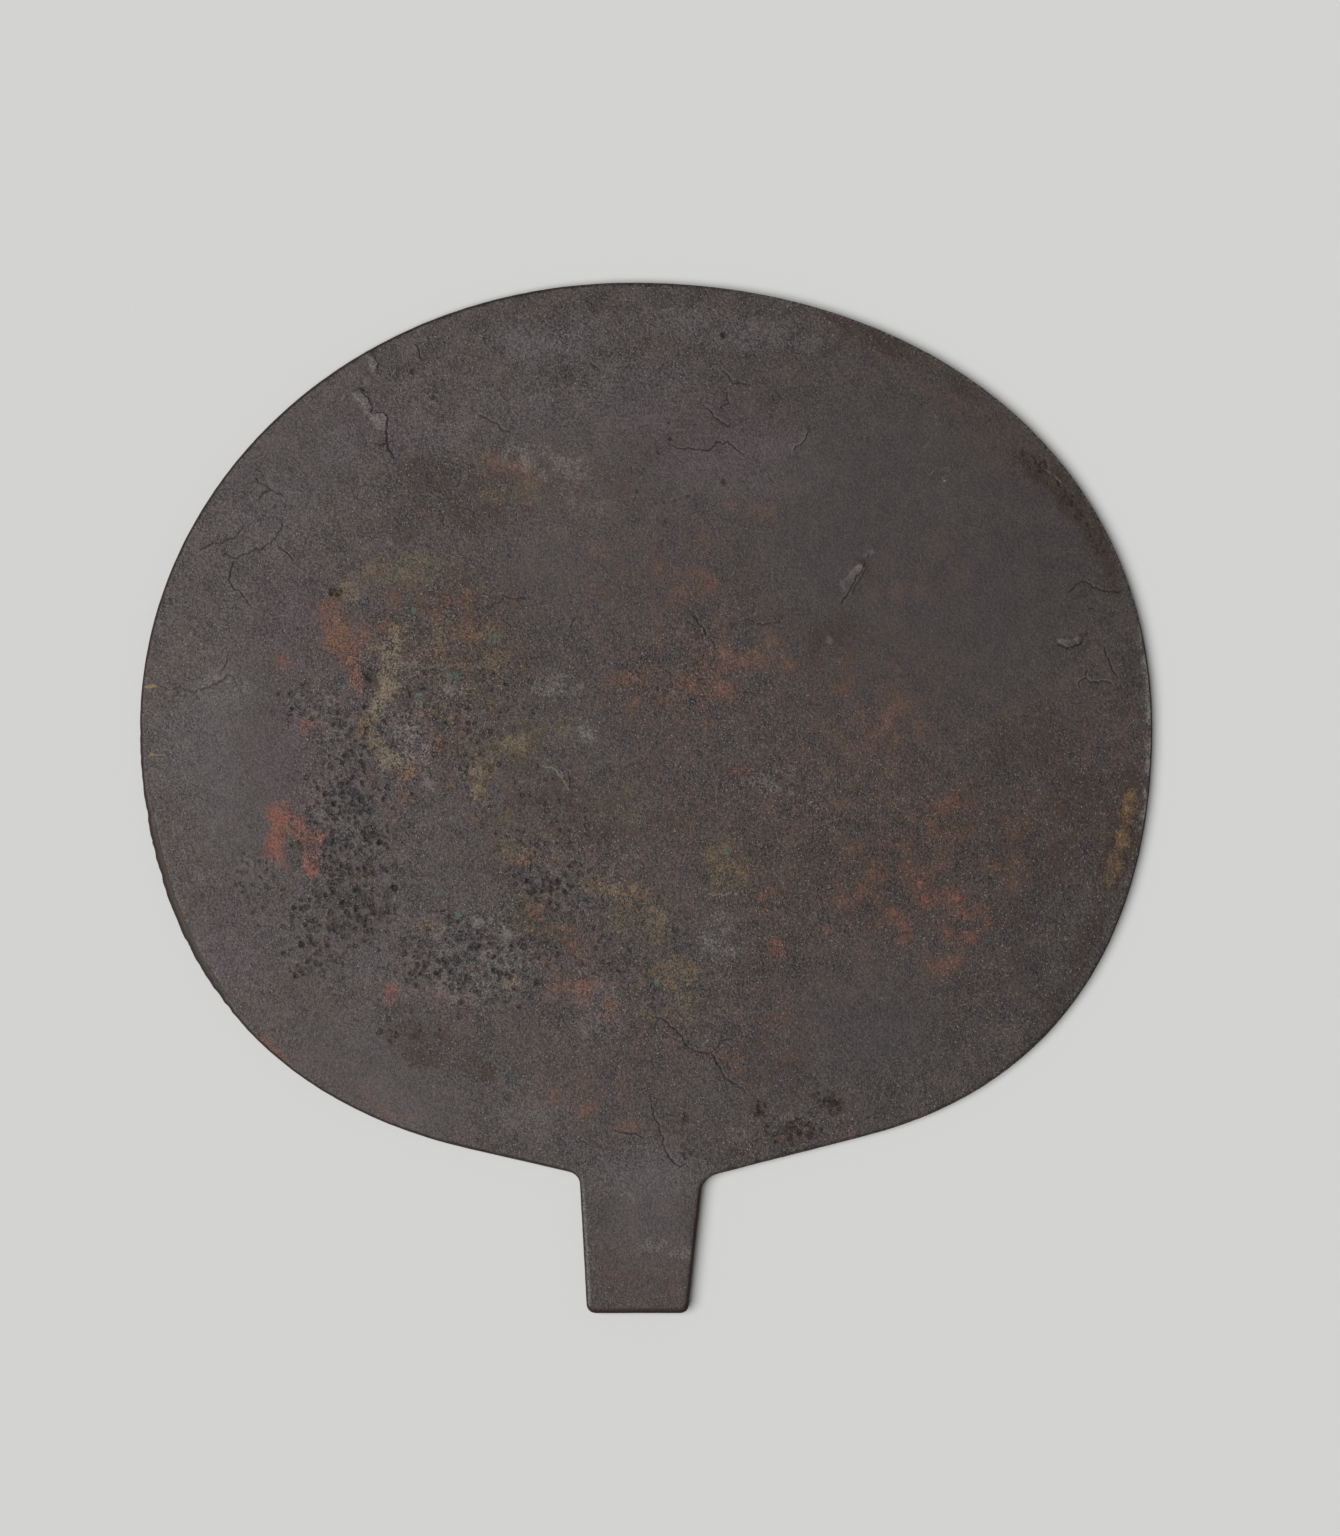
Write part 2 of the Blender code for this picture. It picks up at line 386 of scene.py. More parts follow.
TAN = (
    Blot(-36.4, 21.0, 1.3, 2.8, 0, 1.3),
    Blot(-36.3, 16.8, 1.3, 2.2, 0, 1.1),
    Blot(-38.5, 13.2, 1.0, 2.0, -30, 1.2),
    Blot(-40.2, 10.4, 0.8, 1.6, -10, 0.8),
    Blot(-38.6, 7.6, 1.0, 2.2, 28, 1.5),
    Blot(-36.1, 5.1, 1.3, 1.2, 45, 1.9),
    Blot(-34.2, 3.6, 1.0, 0.9, 0, 0.7),
    Blot(-19.8, 7.0, 2.6, 1.0, 28, 0.6),
    Blot(-24.0, 2.8, 0.9, 2.6, 5, 0.6),
    Blot(-42.5, 29.5, 1.2, 1.2, 0, 0.5),
    Blot(1.2, -17.0, 2.0, 2.0, 0, 0.4),
)

OLIVE = (
    Blot(-25.0, 20.0, 7.6, 6.6, -20, 0.42),
    Blot(-29.5, 15.0, 6.0, 5.4, 0, 0.48),
    Blot(-22.0, 10.0, 8.0, 7.0, 0, 0.48),
    Blot(-36.0, 16.8, 2.2, 5.0, 0, 0.48),
    Blot(0.4, -18.4, 5.2, 4.6, 0, 0.54),
    Blot(12.0, -11.0, 4.8, 3.6, 0, 0.48),
    Blot(-5.0, 0.0, 9.0, 7.0, 0, 0.2),
    Blot(-18.0, -5.0, 6.0, 5.0, 0, 0.3),
    Blot(-16.0, -17.0, 6.0, 5.0, 0, 0.36),
    Blot(4.0, -29.0, 8.0, 4.0, 0, 0.36),
    Blot(-34.0, 33.0, 7.0, 3.0, 0, 0.25),
    Blot(-12.0, 14.0, 5.0, 8.0, 0, 0.24),
)

SLATE = (
    Blot(41.0, 38.0, 24.0, 20.0, -30, 0.3),
    Blot(31.4, -31.1, 11.0, 9.0, 0, 0.8),
    Blot(-12.2, 21.0, 5.0, 9.0, 0, 0.7),
    Blot(12.0, 5.0, 6.0, 6.0, 0, 0.6),
    Blot(-12.2, -12.8, 5.4, 5.0, 0, 0.8),
    Blot(10.6, -20.2, 5.0, 4.6, 0, 0.7),
    Blot(-22.0, -23.0, 7.0, 4.0, 0, 0.9),
    Blot(-33.0, 14.0, 3.0, 3.0, 0, 0.5),
    Blot(-8.0, 8.0, 5.0, 4.0, 0, 0.6),
    Blot(4.0, -63.0, 6.0, 5.0, 0, 0.3),
    Blot(50.0, 12.0, 12.0, 10.0, 0, 0.4),
    Blot(-42.0, -8.0, 5.6, 10.0, 0, 0.7),
)

POLISHED = (
    Blot(0.0, 56.0, 20.0, 8.0, 0, 1.0),
    Blot(-24.0, 57.0, 12.0, 5.0, 10, 0.7),
    Blot(-10.0, 36.0, 10.0, 5.0, 0, 0.5),
    Blot(16.0, 28.0, 9.0, 12.0, 0, 0.4),
)

UMBER = (
    Blot(-32.7, -35.0, 6.0, 3.2, -22, 0.8),
    Blot(-25.0, -39.0, 4.0, 2.4, -15, 0.6),
    Blot(-29.0, 45.0, 8.5, 3.6, -10, 0.65),
    Blot(-24.0, 41.0, 6.5, 3.4, 0, 0.55),
    Blot(-33.0, 40.5, 4.5, 4.5, 0, 0.35),
    Blot(56.2, 47.0, 3.6, 1.2, -38, 2.0),
    Blot(60.6, 42.2, 4.8, 1.1, -50, 1.7),
    Blot(64.4, 36.6, 3.6, 1.0, -58, 1.6),
    Blot(62.9, 41.6, 9.0, 1.9, -53, 1.3),
    Blot(66.6, 32.4, 3.4, 1.0, -66, 1.0),
    Blot(20.6, -47.8, 4.4, 1.6, 5, 1.0),
    Blot(26.2, -43.6, 2.1, 1.2, -25, 0.9),
    Blot(15.9, -44.5, 1.2, 1.1, 0, 1.1),
    Blot(-14.0, 3.0, 3.0, 3.0, 0, 0.4),
    Blot(31.5, 32.0, 1.6, 3.0, 20, 0.25),
    Blot(-8.0, -3.0, 14.0, 4.5, 0, 0.4),
    Blot(-44.3, 29.3, 0.9, 0.8, 0, 1.6),
    Blot(-42.8, 26.0, 0.8, 0.7, 0, 1.2),
    Blot(-39.2, 17.3, 0.8, 1.1, 0, 1.6),
    Blot(-37.4, 25.2, 2.6, 1.6, 0, 0.8),
    Blot(-16.4, -19.2, 6.0, 4.0, 0, 1.0),
    Blot(56.0, -1.0, 8.0, 13.0, 0, 0.45),
    Blot(-49.6, -6.7, 1.2, 1.0, 0, 1.5),
    Blot(63.6, -20.0, 1.3, 5.0, -25, 0.6),
    Blot(57.6, -31.0, 1.3, 5.0, -40, 0.5),
    Blot(-22.0, 14.0, 4.0, 3.4, 0, 0.5),
    Blot(57.2, 46.5, 2.2, 1.2, -40, 1.6),
    Blot(36.0, -17.0, 5.0, 4.0, 0, 0.4),
    Blot(66.0, -3.0, 4.0, 8.0, 0, 0.4),
    Blot(33.0, -12.0, 10.0, 9.0, 0, 0.35),
    Blot(44.0, -28.0, 9.0, 5.0, 0, 0.5),
    Blot(-32.6, 28.0, 3.2, 1.8, 0, 0.5),
    Blot(-25.0, 24.0, 4.0, 3.0, 0, 0.4),
    Blot(-16.6, 6.0, 4.0, 5.0, 0, 0.5),
    Blot(-16.6, -14.0, 4.0, 4.0, 0, 0.4),
    Blot(17.5, -38.0, 6.0, 7.0, 0, 0.5),
    Blot(61.0, -1.0, 5.0, 6.0, 0, 0.9),
    Blot(28.0, 21.0, 6.0, 6.0, 0, 0.4),
    Blot(56.0, 8.0, 7.0, 4.0, 0, 0.4),
    Blot(-30.0, 29.6, 7.0, 3.0, 0, 0.5),
    Blot(-42.0, -14.0, 5.0, 7.0, 0, 0.4),
    Blot(51.0, -20.0, 5.0, 6.0, 0, 0.5),
    Blot(69.2, -2.0, 1.6, 5.0, 0, 1.6),
    Blot(67.2, -9.0, 1.6, 4.0, -15, 1.8),
    Blot(-22.0, 44.0, 5.0, 2.6, 0, 0.5),
    Blot(-16.6, -1.5, 4.0, 3.5, 0, 0.6),
    Blot(43.6, -2.0, 4.0, 4.0, 0, 0.6),
    Blot(34.0, 66.0, 9.0, 1.7, -28, 0.8),
    Blot(45.5, 58.6, 4.0, 1.2, -38, 0.5),
)

RUSSET_GROUND = (
    Blot(23.5, -3.8, 30.0, 26.0, 0, 0.9),
    Blot(2.0, 22.0, 16.0, 16.0, 0, 0.7),
    Blot(-7.0, -36.0, 15.0, 9.0, 10, 0.7),
    Blot(-27.0, 22.0, 13.0, 12.0, 0, 0.9),
    Blot(-3.0, -8.0, 18.0, 16.0, 0, 0.7),
    Blot(60.0, 3.0, 12.0, 15.0, 0, 0.7),
    Blot(0.0, -68.0, 7.0, 6.0, 0, 0.75),
    Blot(-12.0, 45.0, 12.0, 4.0, -15, 0.6),
    Blot(50.0, 53.0, 12.0, 4.0, -35, 0.8),
    Blot(-27.0, 8.0, 9.0, 8.0, 0, 0.6),
    Blot(-17.0, -2.0, 7.0, 14.0, 0, 0.5),
    Blot(-36.0, 4.0, 4.0, 12.0, 0, 0.4),
    Blot(38.0, 31.0, 8.0, 5.0, 0, 0.25),
    Blot(-12.0, -9.0, 7.0, 5.0, 0, 0.4),
    Blot(34.0, 65.6, 9.5, 2.4, -28, 0.8),
)

PLUM = (
    Blot(-50.3, 28.3, 6.8, 6.2, 0, 0.9),
    Blot(-51.0, 6.8, 6.0, 7.2, 0, 0.9),
    Blot(-58.0, -20.0, 5.5, 8.0, 20, 0.45),
    Blot(-36.0, 55.0, 9.0, 5.0, 0, 0.4),
    Blot(9.0, 52.0, 14.0, 7.0, 0, 0.4),
)

LILAC = (
    Blot(-8.0, 57.5, 18.0, 7.0, 0, 0.5),
    Blot(-64.0, 6.0, 6.0, 11.0, 0, 0.8),
    Blot(-52.0, 40.0, 7.0, 6.0, 20, 0.6),
    Blot(-30.0, 53.0, 8.0, 3.0, 0, 0.5),
    Blot(0.5, -53.5, 9.0, 4.0, 0, 0.9),
    Blot(-40.0, -24.0, 5.0, 3.0, 0, 0.4),
    Blot(-36.0, -36.0, 12.0, 3.0, -28, 0.3),
    Blot(-12.0, -12.5, 4.0, 3.0, 0, 0.3),
    Blot(30.0, 52.0, 14.0, 6.0, -20, 0.15),
    Blot(-34.6, 10.0, 3.4, 2.6, 0, 0.8),
    Blot(-60.0, 16.0, 3.4, 4.0, 0, 0.6),
    Blot(17.0, 50.0, 8.0, 4.0, 0, 0.4),
    Blot(-17.0, -45.0, 5.0, 2.0, 0, 0.8),
    Blot(-21.0, 12.5, 3.0, 2.4, 0, 0.5),
    Blot(-40.0, -13.0, 2.0, 5.0, 0, 0.5),
    Blot(-36.0, -44.0, 6.0, 3.0, -30, 0.6),
    Blot(-18.0, -41.0, 4.0, 3.0, 0, 0.5),
    Blot(-14.0, 66.0, 10.0, 2.6, 8, 0.7),
    Blot(11.0, 67.0, 13.0, 2.6, -6, 0.6),
    Blot(-7.0, -30.0, 4.5, 5.0, 0, 0.6),
    Blot(-8.0, 58.0, 6.0, 4.0, 0, 0.6),
    Blot(14.0, 47.0, 12.0, 4.0, 0, 0.4),
    Blot(-56.0, 33.0, 6.0, 5.0, 0, 0.4),
    Blot(-51.0, -19.0, 4.0, 4.0, 0, 0.3),
    Blot(-44.0, 50.0, 4.0, 4.0, 0, 0.4),
    Blot(-8.0, 52.0, 5.0, 5.0, 0, 0.4),
    Blot(0.0, -62.0, 6.0, 7.0, 0, 0.35),
)

PALE_BLOOM = (
    Blot(-15.0, 48.0, 9.0, 2.4, -13, 0.35),
    Blot(-8.4, 42.8, 5.0, 2.6, -20, 0.2),
    Blot(-13.2, 16.0, 3.8, 1.6, 0, 0.6),
    Blot(-8.2, 9.3, 1.3, 1.1, 0, 0.6),
    Blot(10.6, -20.4, 3.8, 4.0, 0, 0.35),
    Blot(-24.0, -24.0, 8.0, 6.0, 0, 0.3),
    Blot(-61.0, 21.0, 6.0, 9.0, 0, 0.15),
    Blot(0.6, -64.1, 2.1, 0.6, 0, 0.55),
    Blot(5.2, -64.9, 1.7, 0.7, 0, 0.5),
    Blot(-27.9, 15.6, 1.1, 1.0, 0, 0.7),
    Blot(-23.8, -17.8, 1.3, 1.2, 0, 1.0),
    Blot(-19.6, -19.4, 1.1, 1.0, 0, 0.9),
    Blot(-30.7, 2.1, 0.8, 0.8, 0, 0.9),
    Blot(42.0, 43.0, 9.0, 7.0, 20, 0.1),
    Blot(18.0, 2.2, 4.0, 1.8, 0, 0.3),
    Blot(-60.0, 15.0, 5.0, 4.0, 0, 0.25),
    Blot(-33.0, 58.0, 5.0, 3.0, 0, 0.2),
    Blot(-33.0, 7.6, 3.0, 3.0, 0, 0.5),
)

CRUSTY = (
    Blot(-33.0, 14.0, 11.0, 17.0, -15, 0.8),
    Blot(-24.0, -22.5, 12.0, 8.0, 0, 0.9),
    Blot(-10.0, -12.0, 11.0, 9.0, 0, 0.7),
    Blot(-42.0, -5.0, 9.0, 15.0, 0, 0.7),
    Blot(-47.0, 12.0, 5.0, 6.0, 0, 0.7),
    Blot(-30.0, 45.0, 9.0, 5.0, 0, 0.4),
    Blot(0.0, -30.0, 16.0, 8.0, 0, 0.5),
    Blot(20.0, -6.0, 22.0, 18.0, 0, 0.2),
    Blot(6.0, 20.0, 12.0, 10.0, 0, 0.3),
    Blot(20.0, -48.0, 9.0, 3.0, 5, 0.6),
)

SMOOTH = (
    Blot(41.0, 36.0, 32.0, 26.0, -30, 0.8),
    Blot(31.4, -31.1, 11.0, 9.0, 0, 0.45),
    Blot(4.0, 48.0, 26.0, 11.0, 0, 0.5),
    Blot(-14.0, 33.0, 8.0, 5.0, 0, 0.5),
    Blot(-58.0, 4.0, 7.0, 16.0, 0, 0.5),
    Blot(-38.0, -41.0, 14.0, 5.5, -28, 0.6),
    Blot(0.0, -62.0, 9.0, 10.0, 0, 0.55),
    Blot(0.0, 32.0, 13.0, 9.0, 0, 0.4),
    Blot(-50.0, 50.0, 12.0, 8.0, 45, 0.3),
)

VERDIGRIS = (
    Blot(-26.9, -16.8, 0.40, 0.45, 0, 0.9),
    Blot(-24.8, -23.7, 0.45, 0.30, 0, 0.8),
    Blot(-18.6, -23.7, 0.30, 0.30, 0, 0.8),
    Blot(-29.7, -13.9, 0.60, 0.25, 10, 0.6),
    Blot(1.6, -26.5, 0.30, 0.45, 0, 1.0),
    Blot(-33.2, 26.8, 0.35, 0.50, 20, 0.9),
    Blot(-27.5, 17.5, 1.2, 0.6, 0, 0.4),
    Blot(-21.9, 23.0, 1.4, 1.2, 0, 0.35),
    Blot(-35.0, 32.6, 0.5, 0.8, 0, 0.4),
    Blot(-32.6, 14.4, 0.7, 0.7, 0, 0.4),
    Blot(11.5, -7.4, 0.7, 0.6, 0, 0.5),
)

BARE_METAL = (
    Blot(-70.9, 16.0, 0.9, 0.22, 0, 0.6),
    Blot(-70.4, 6.1, 1.6, 0.12, 0, 0.5),
    Blot(68.8, -1.6, 0.9, 0.6, 30, 0.22),
    Blot(69.2, 0.3, 0.4, 0.5, 0, 0.2),
    Blot(67.9, -5.4, 0.5, 1.0, 0, 0.18),
)

PIT_FIELDS = (
    PitField(-42.4, -4.6, 7.6, 10.5, 0, 120, 0.18, 0.50, 0.9, 0.75),
    PitField(-43.1, -16.6, 9.0, 5.6, 10, 80, 0.18, 0.50, 0.9, 0.6),
    PitField(-48.3, -23.2, 4.4, 2.8, 0, 26, 0.2, 0.42, 0.9, 0.4),
    PitField(-55.6, -12.8, 2.8, 7.0, 0, 18, 0.2, 0.38, 0.55, 0.3),
    PitField(-41.6, 7.4, 4.4, 8.0, 0, 46, 0.18, 0.48, 0.9, 0.6),
    PitField(-49.4, 13.4, 3.6, 3.6, 0, 12, 0.2, 0.42, 0.9, 0.35),
    PitField(-44.2, 29.4, 1.1, 0.9, 0, 6, 0.2, 0.38, 1.0, 0.5),
    PitField(-39.5, 17.4, 0.9, 1.2, 0, 6, 0.2, 0.38, 1.0, 0.5),
    PitField(-25.0, -23.6, 10.0, 6.8, -8, 95, 0.18, 0.46, 0.9, 0.6),
    PitField(-31.6, -24.6, 4.0, 3.0, 0, 26, 0.22, 0.45, 1.0, 0.5),
    PitField(-12.2, -12.8, 5.6, 5.0, 0, 60, 0.18, 0.46, 0.9, 0.6),
    PitField(-33.5, -33.0, 6.0, 4.0, 0, 22, 0.2, 0.4, 0.6, 0.25),
    PitField(20.6, -47.8, 4.4, 1.8, 5, 34, 0.16, 0.34, 0.8, 0.5),
    PitField(26.2, -43.6, 2.1, 1.3, -25, 20, 0.16, 0.36, 1.0, 0.7),
    PitField(15.9, -44.5, 1.1, 1.0, 0, 8, 0.2, 0.4, 1.0, 0.6),
    PitField(5.6, -46.0, 1.1, 1.0, 0, 4, 0.2, 0.4, 0.8, 0.3),
    PitField(5.7, -50.8, 1.1, 1.1, 0, 6, 0.2, 0.4, 0.8, 0.3),
    PitField(-25.0, 10.0, 9.5, 14.0, 0, 60, 0.2, 0.42, 0.55, 0.28),
    PitField(-14.0, -2.0, 10.0, 9.0, 0, 40, 0.18, 0.36, 0.6, 0.22),
    PitField(-6.0, -22.0, 12.0, 8.0, 0, 40, 0.18, 0.36, 0.6, 0.22),
    PitField(18.0, 2.2, 4.5, 2.4, 0, 14, 0.18, 0.34, 0.6, 0.35),
    PitField(-53.0, 44.0, 5.0, 4.0, 0, 14, 0.18, 0.32, 0.5, 0.15),
    PitField(3.0, 43.0, 4.5, 5.0, 0, 10, 0.16, 0.3, 0.7, 0.08),
    PitField(56.6, 47.6, 2.6, 1.1, -35, 26, 0.14, 0.3, 0.9, 0.3),
    PitField(61.2, 42.0, 4.4, 0.9, -52, 34, 0.14, 0.3, 0.9, 0.3),
    PitField(64.4, 36.6, 2.6, 0.8, -60, 16, 0.14, 0.28, 0.8, 0.2),
)

LONE_PITS = (
    Wart(3.2, 53.6, 0.25, -0.12),
    Wart(3.5, 51.4, 0.25, -0.12),
    Wart(1.9, 49.4, 0.30, -0.16),
    Wart(11.2, 66.2, 0.45, -0.16),
    Wart(11.0, 45.2, 0.40, -0.12),
    Wart(63.1, 23.4, 0.35, -0.10),
    Wart(-1.3, 43.8, 0.30, -0.10),
    Wart(-30.4, 57.2, 0.40, -0.10),
    Wart(-33.4, 61.0, 0.35, -0.08),
)

WARTS = (
    Wart(-27.9, 15.6, 1.1, 0.16),
    Wart(-23.8, -17.8, 1.3, 0.18),
    Wart(-19.6, -19.4, 1.0, 0.16),
    Wart(-30.7, 2.1, 0.8, 0.12),
    Wart(-67.8, 15.4, 0.9, 0.18),
    Wart(-44.8, 13.9, 0.9, 0.14, 0.9),
    Wart(-56.7, -9.4, 1.0, 0.12, 0.9),
    Wart(-49.0, 14.2, 1.1, 0.14, 0.5),
    Wart(-47.2, 12.2, 0.8, 0.12),
    Wart(26.4, 22.6, 0.6, 0.08),
    Wart(-39.8, 59.9, 0.7, 0.08),
    Wart(-66.9, -4.6, 0.9, 0.08, 0.7),
    Wart(17.0, 2.4, 0.7, 0.10),
    Wart(19.2, 1.4, 0.6, 0.10),
    Wart(21.0, 0.6, 0.6, 0.10),
    Wart(-36.5, 36.6, 0.7, 0.08),
)

SCRATCHES = (
    Scratch(((-15.2, 4.7), (-13.2, 4.2), (-12.1, 3.1), (-11.5, 1.9), (-10.9, 0.7)), 0.12, 0.9),
    Scratch(((8.6, -13.7), (10.0, -13.8), (11.5, -13.8), (12.4, -13.4)), 0.11, 0.9),
    Scratch(((17.5, -12.9), (18.2, -14.8), (19.0, -16.5), (20.1, -17.8)), 0.08, 0.5),
    Scratch(
        ((39.8, 56.3), (41.1, 55.0), (41.9, 53.1), (41.4, 52.0), (39.6, 50.1), (39.2, 49.0)),
        0.08,
        0.4,
    ),
    Scratch(((40.3, 45.9), (41.3, 46.9), (43.5, 47.3)), 0.10, 0.5),
    Scratch(((42.0, 45.2), (42.9, 45.9), (43.5, 47.0)), 0.09, 0.5),
    Scratch(((56.5, 47.3), (58.1, 46.6), (59.5, 45.0)), 0.09, 0.45),
    Scratch(((-3.9, -57.1), (-3.3, -56.7), (-2.5, -56.7), (-1.9, -57.3), (-1.8, -58.2)), 0.11, 0.5),
    Scratch(((5.6, -24.4), (6.8, -24.9), (7.6, -25.8)), 0.08, 0.4),
)

DUST = (
    Blot(-50.0, -23.5, 0.15, 0.15, 0, 0.6),
    Blot(33.7, -28.7, 0.14, 0.14, 0, 0.54),
    Blot(60.0, -20.2, 0.14, 0.14, 0, 0.54),
    Blot(42.6, 45.3, 0.2, 0.15, 0, 0.3),
    Blot(23.5, -0.6, 0.15, 0.13, 0, 0.48),
    Blot(27.6, 19.4, 0.18, 0.14, 0, 0.42),
    Blot(15.2, -25.8, 0.14, 0.14, 0, 0.42),
    Blot(-13.4, 57.0, 0.13, 0.13, 0, 0.42),
    Blot(48.6, -14.0, 0.14, 0.14, 0, 0.42),
    Blot(-21.6, 42.7, 0.17, 0.17, 0, 0.36),
)

FLAKES = (
    Flake(
        (
            (-42.2, 58.0), (-41.2, 58.5), (-40.3, 58.2), (-39.8, 57.4), (-39.5, 56.6),
            (-39.1, 55.7), (-39.4, 55.0), (-40.0, 54.9), (-40.6, 55.8), (-41.3, 56.9),
        ),
        0.22,
        1.0,
    ),
    Flake(
        (
            (-39.4, 55.0), (-38.5, 55.3), (-37.5, 55.1), (-37.0, 54.6), (-37.0, 53.4),
            (-37.2, 52.4), (-38.0, 52.6), (-38.9, 53.6), (-39.5, 54.3),
        ),
        0.22,
        1.0,
    ),
    Flake(
        ((-39.8, 63.4), (-38.8, 62.9), (-38.2, 62.2), (-38.3, 61.2), (-39.0, 60.8), (-39.6, 61.6)),
        0.16,
        0.9,
    ),
    Flake(
        (
            (58.9, 22.5), (59.6, 22.9), (61.0, 22.9), (62.0, 23.2), (62.7, 22.8),
            (62.0, 22.0), (61.2, 21.6), (60.2, 21.5), (59.4, 21.9),
        ),
        0.14,
        0.45,
    ),
    Flake(
        (
            (28.0, 31.0), (29.4, 32.8), (30.6, 33.8), (31.2, 33.0), (30.3, 30.8), (29.2, 29.4),
            (28.3, 29.8),
        ),
        0.14,
        0.4,
    ),
    Flake(((-24.4, -17.0), (-23.2, -16.8), (-22.8, -17.8), (-23.4, -18.8), (-24.6, -18.6)), 0.14, 0.8),
)

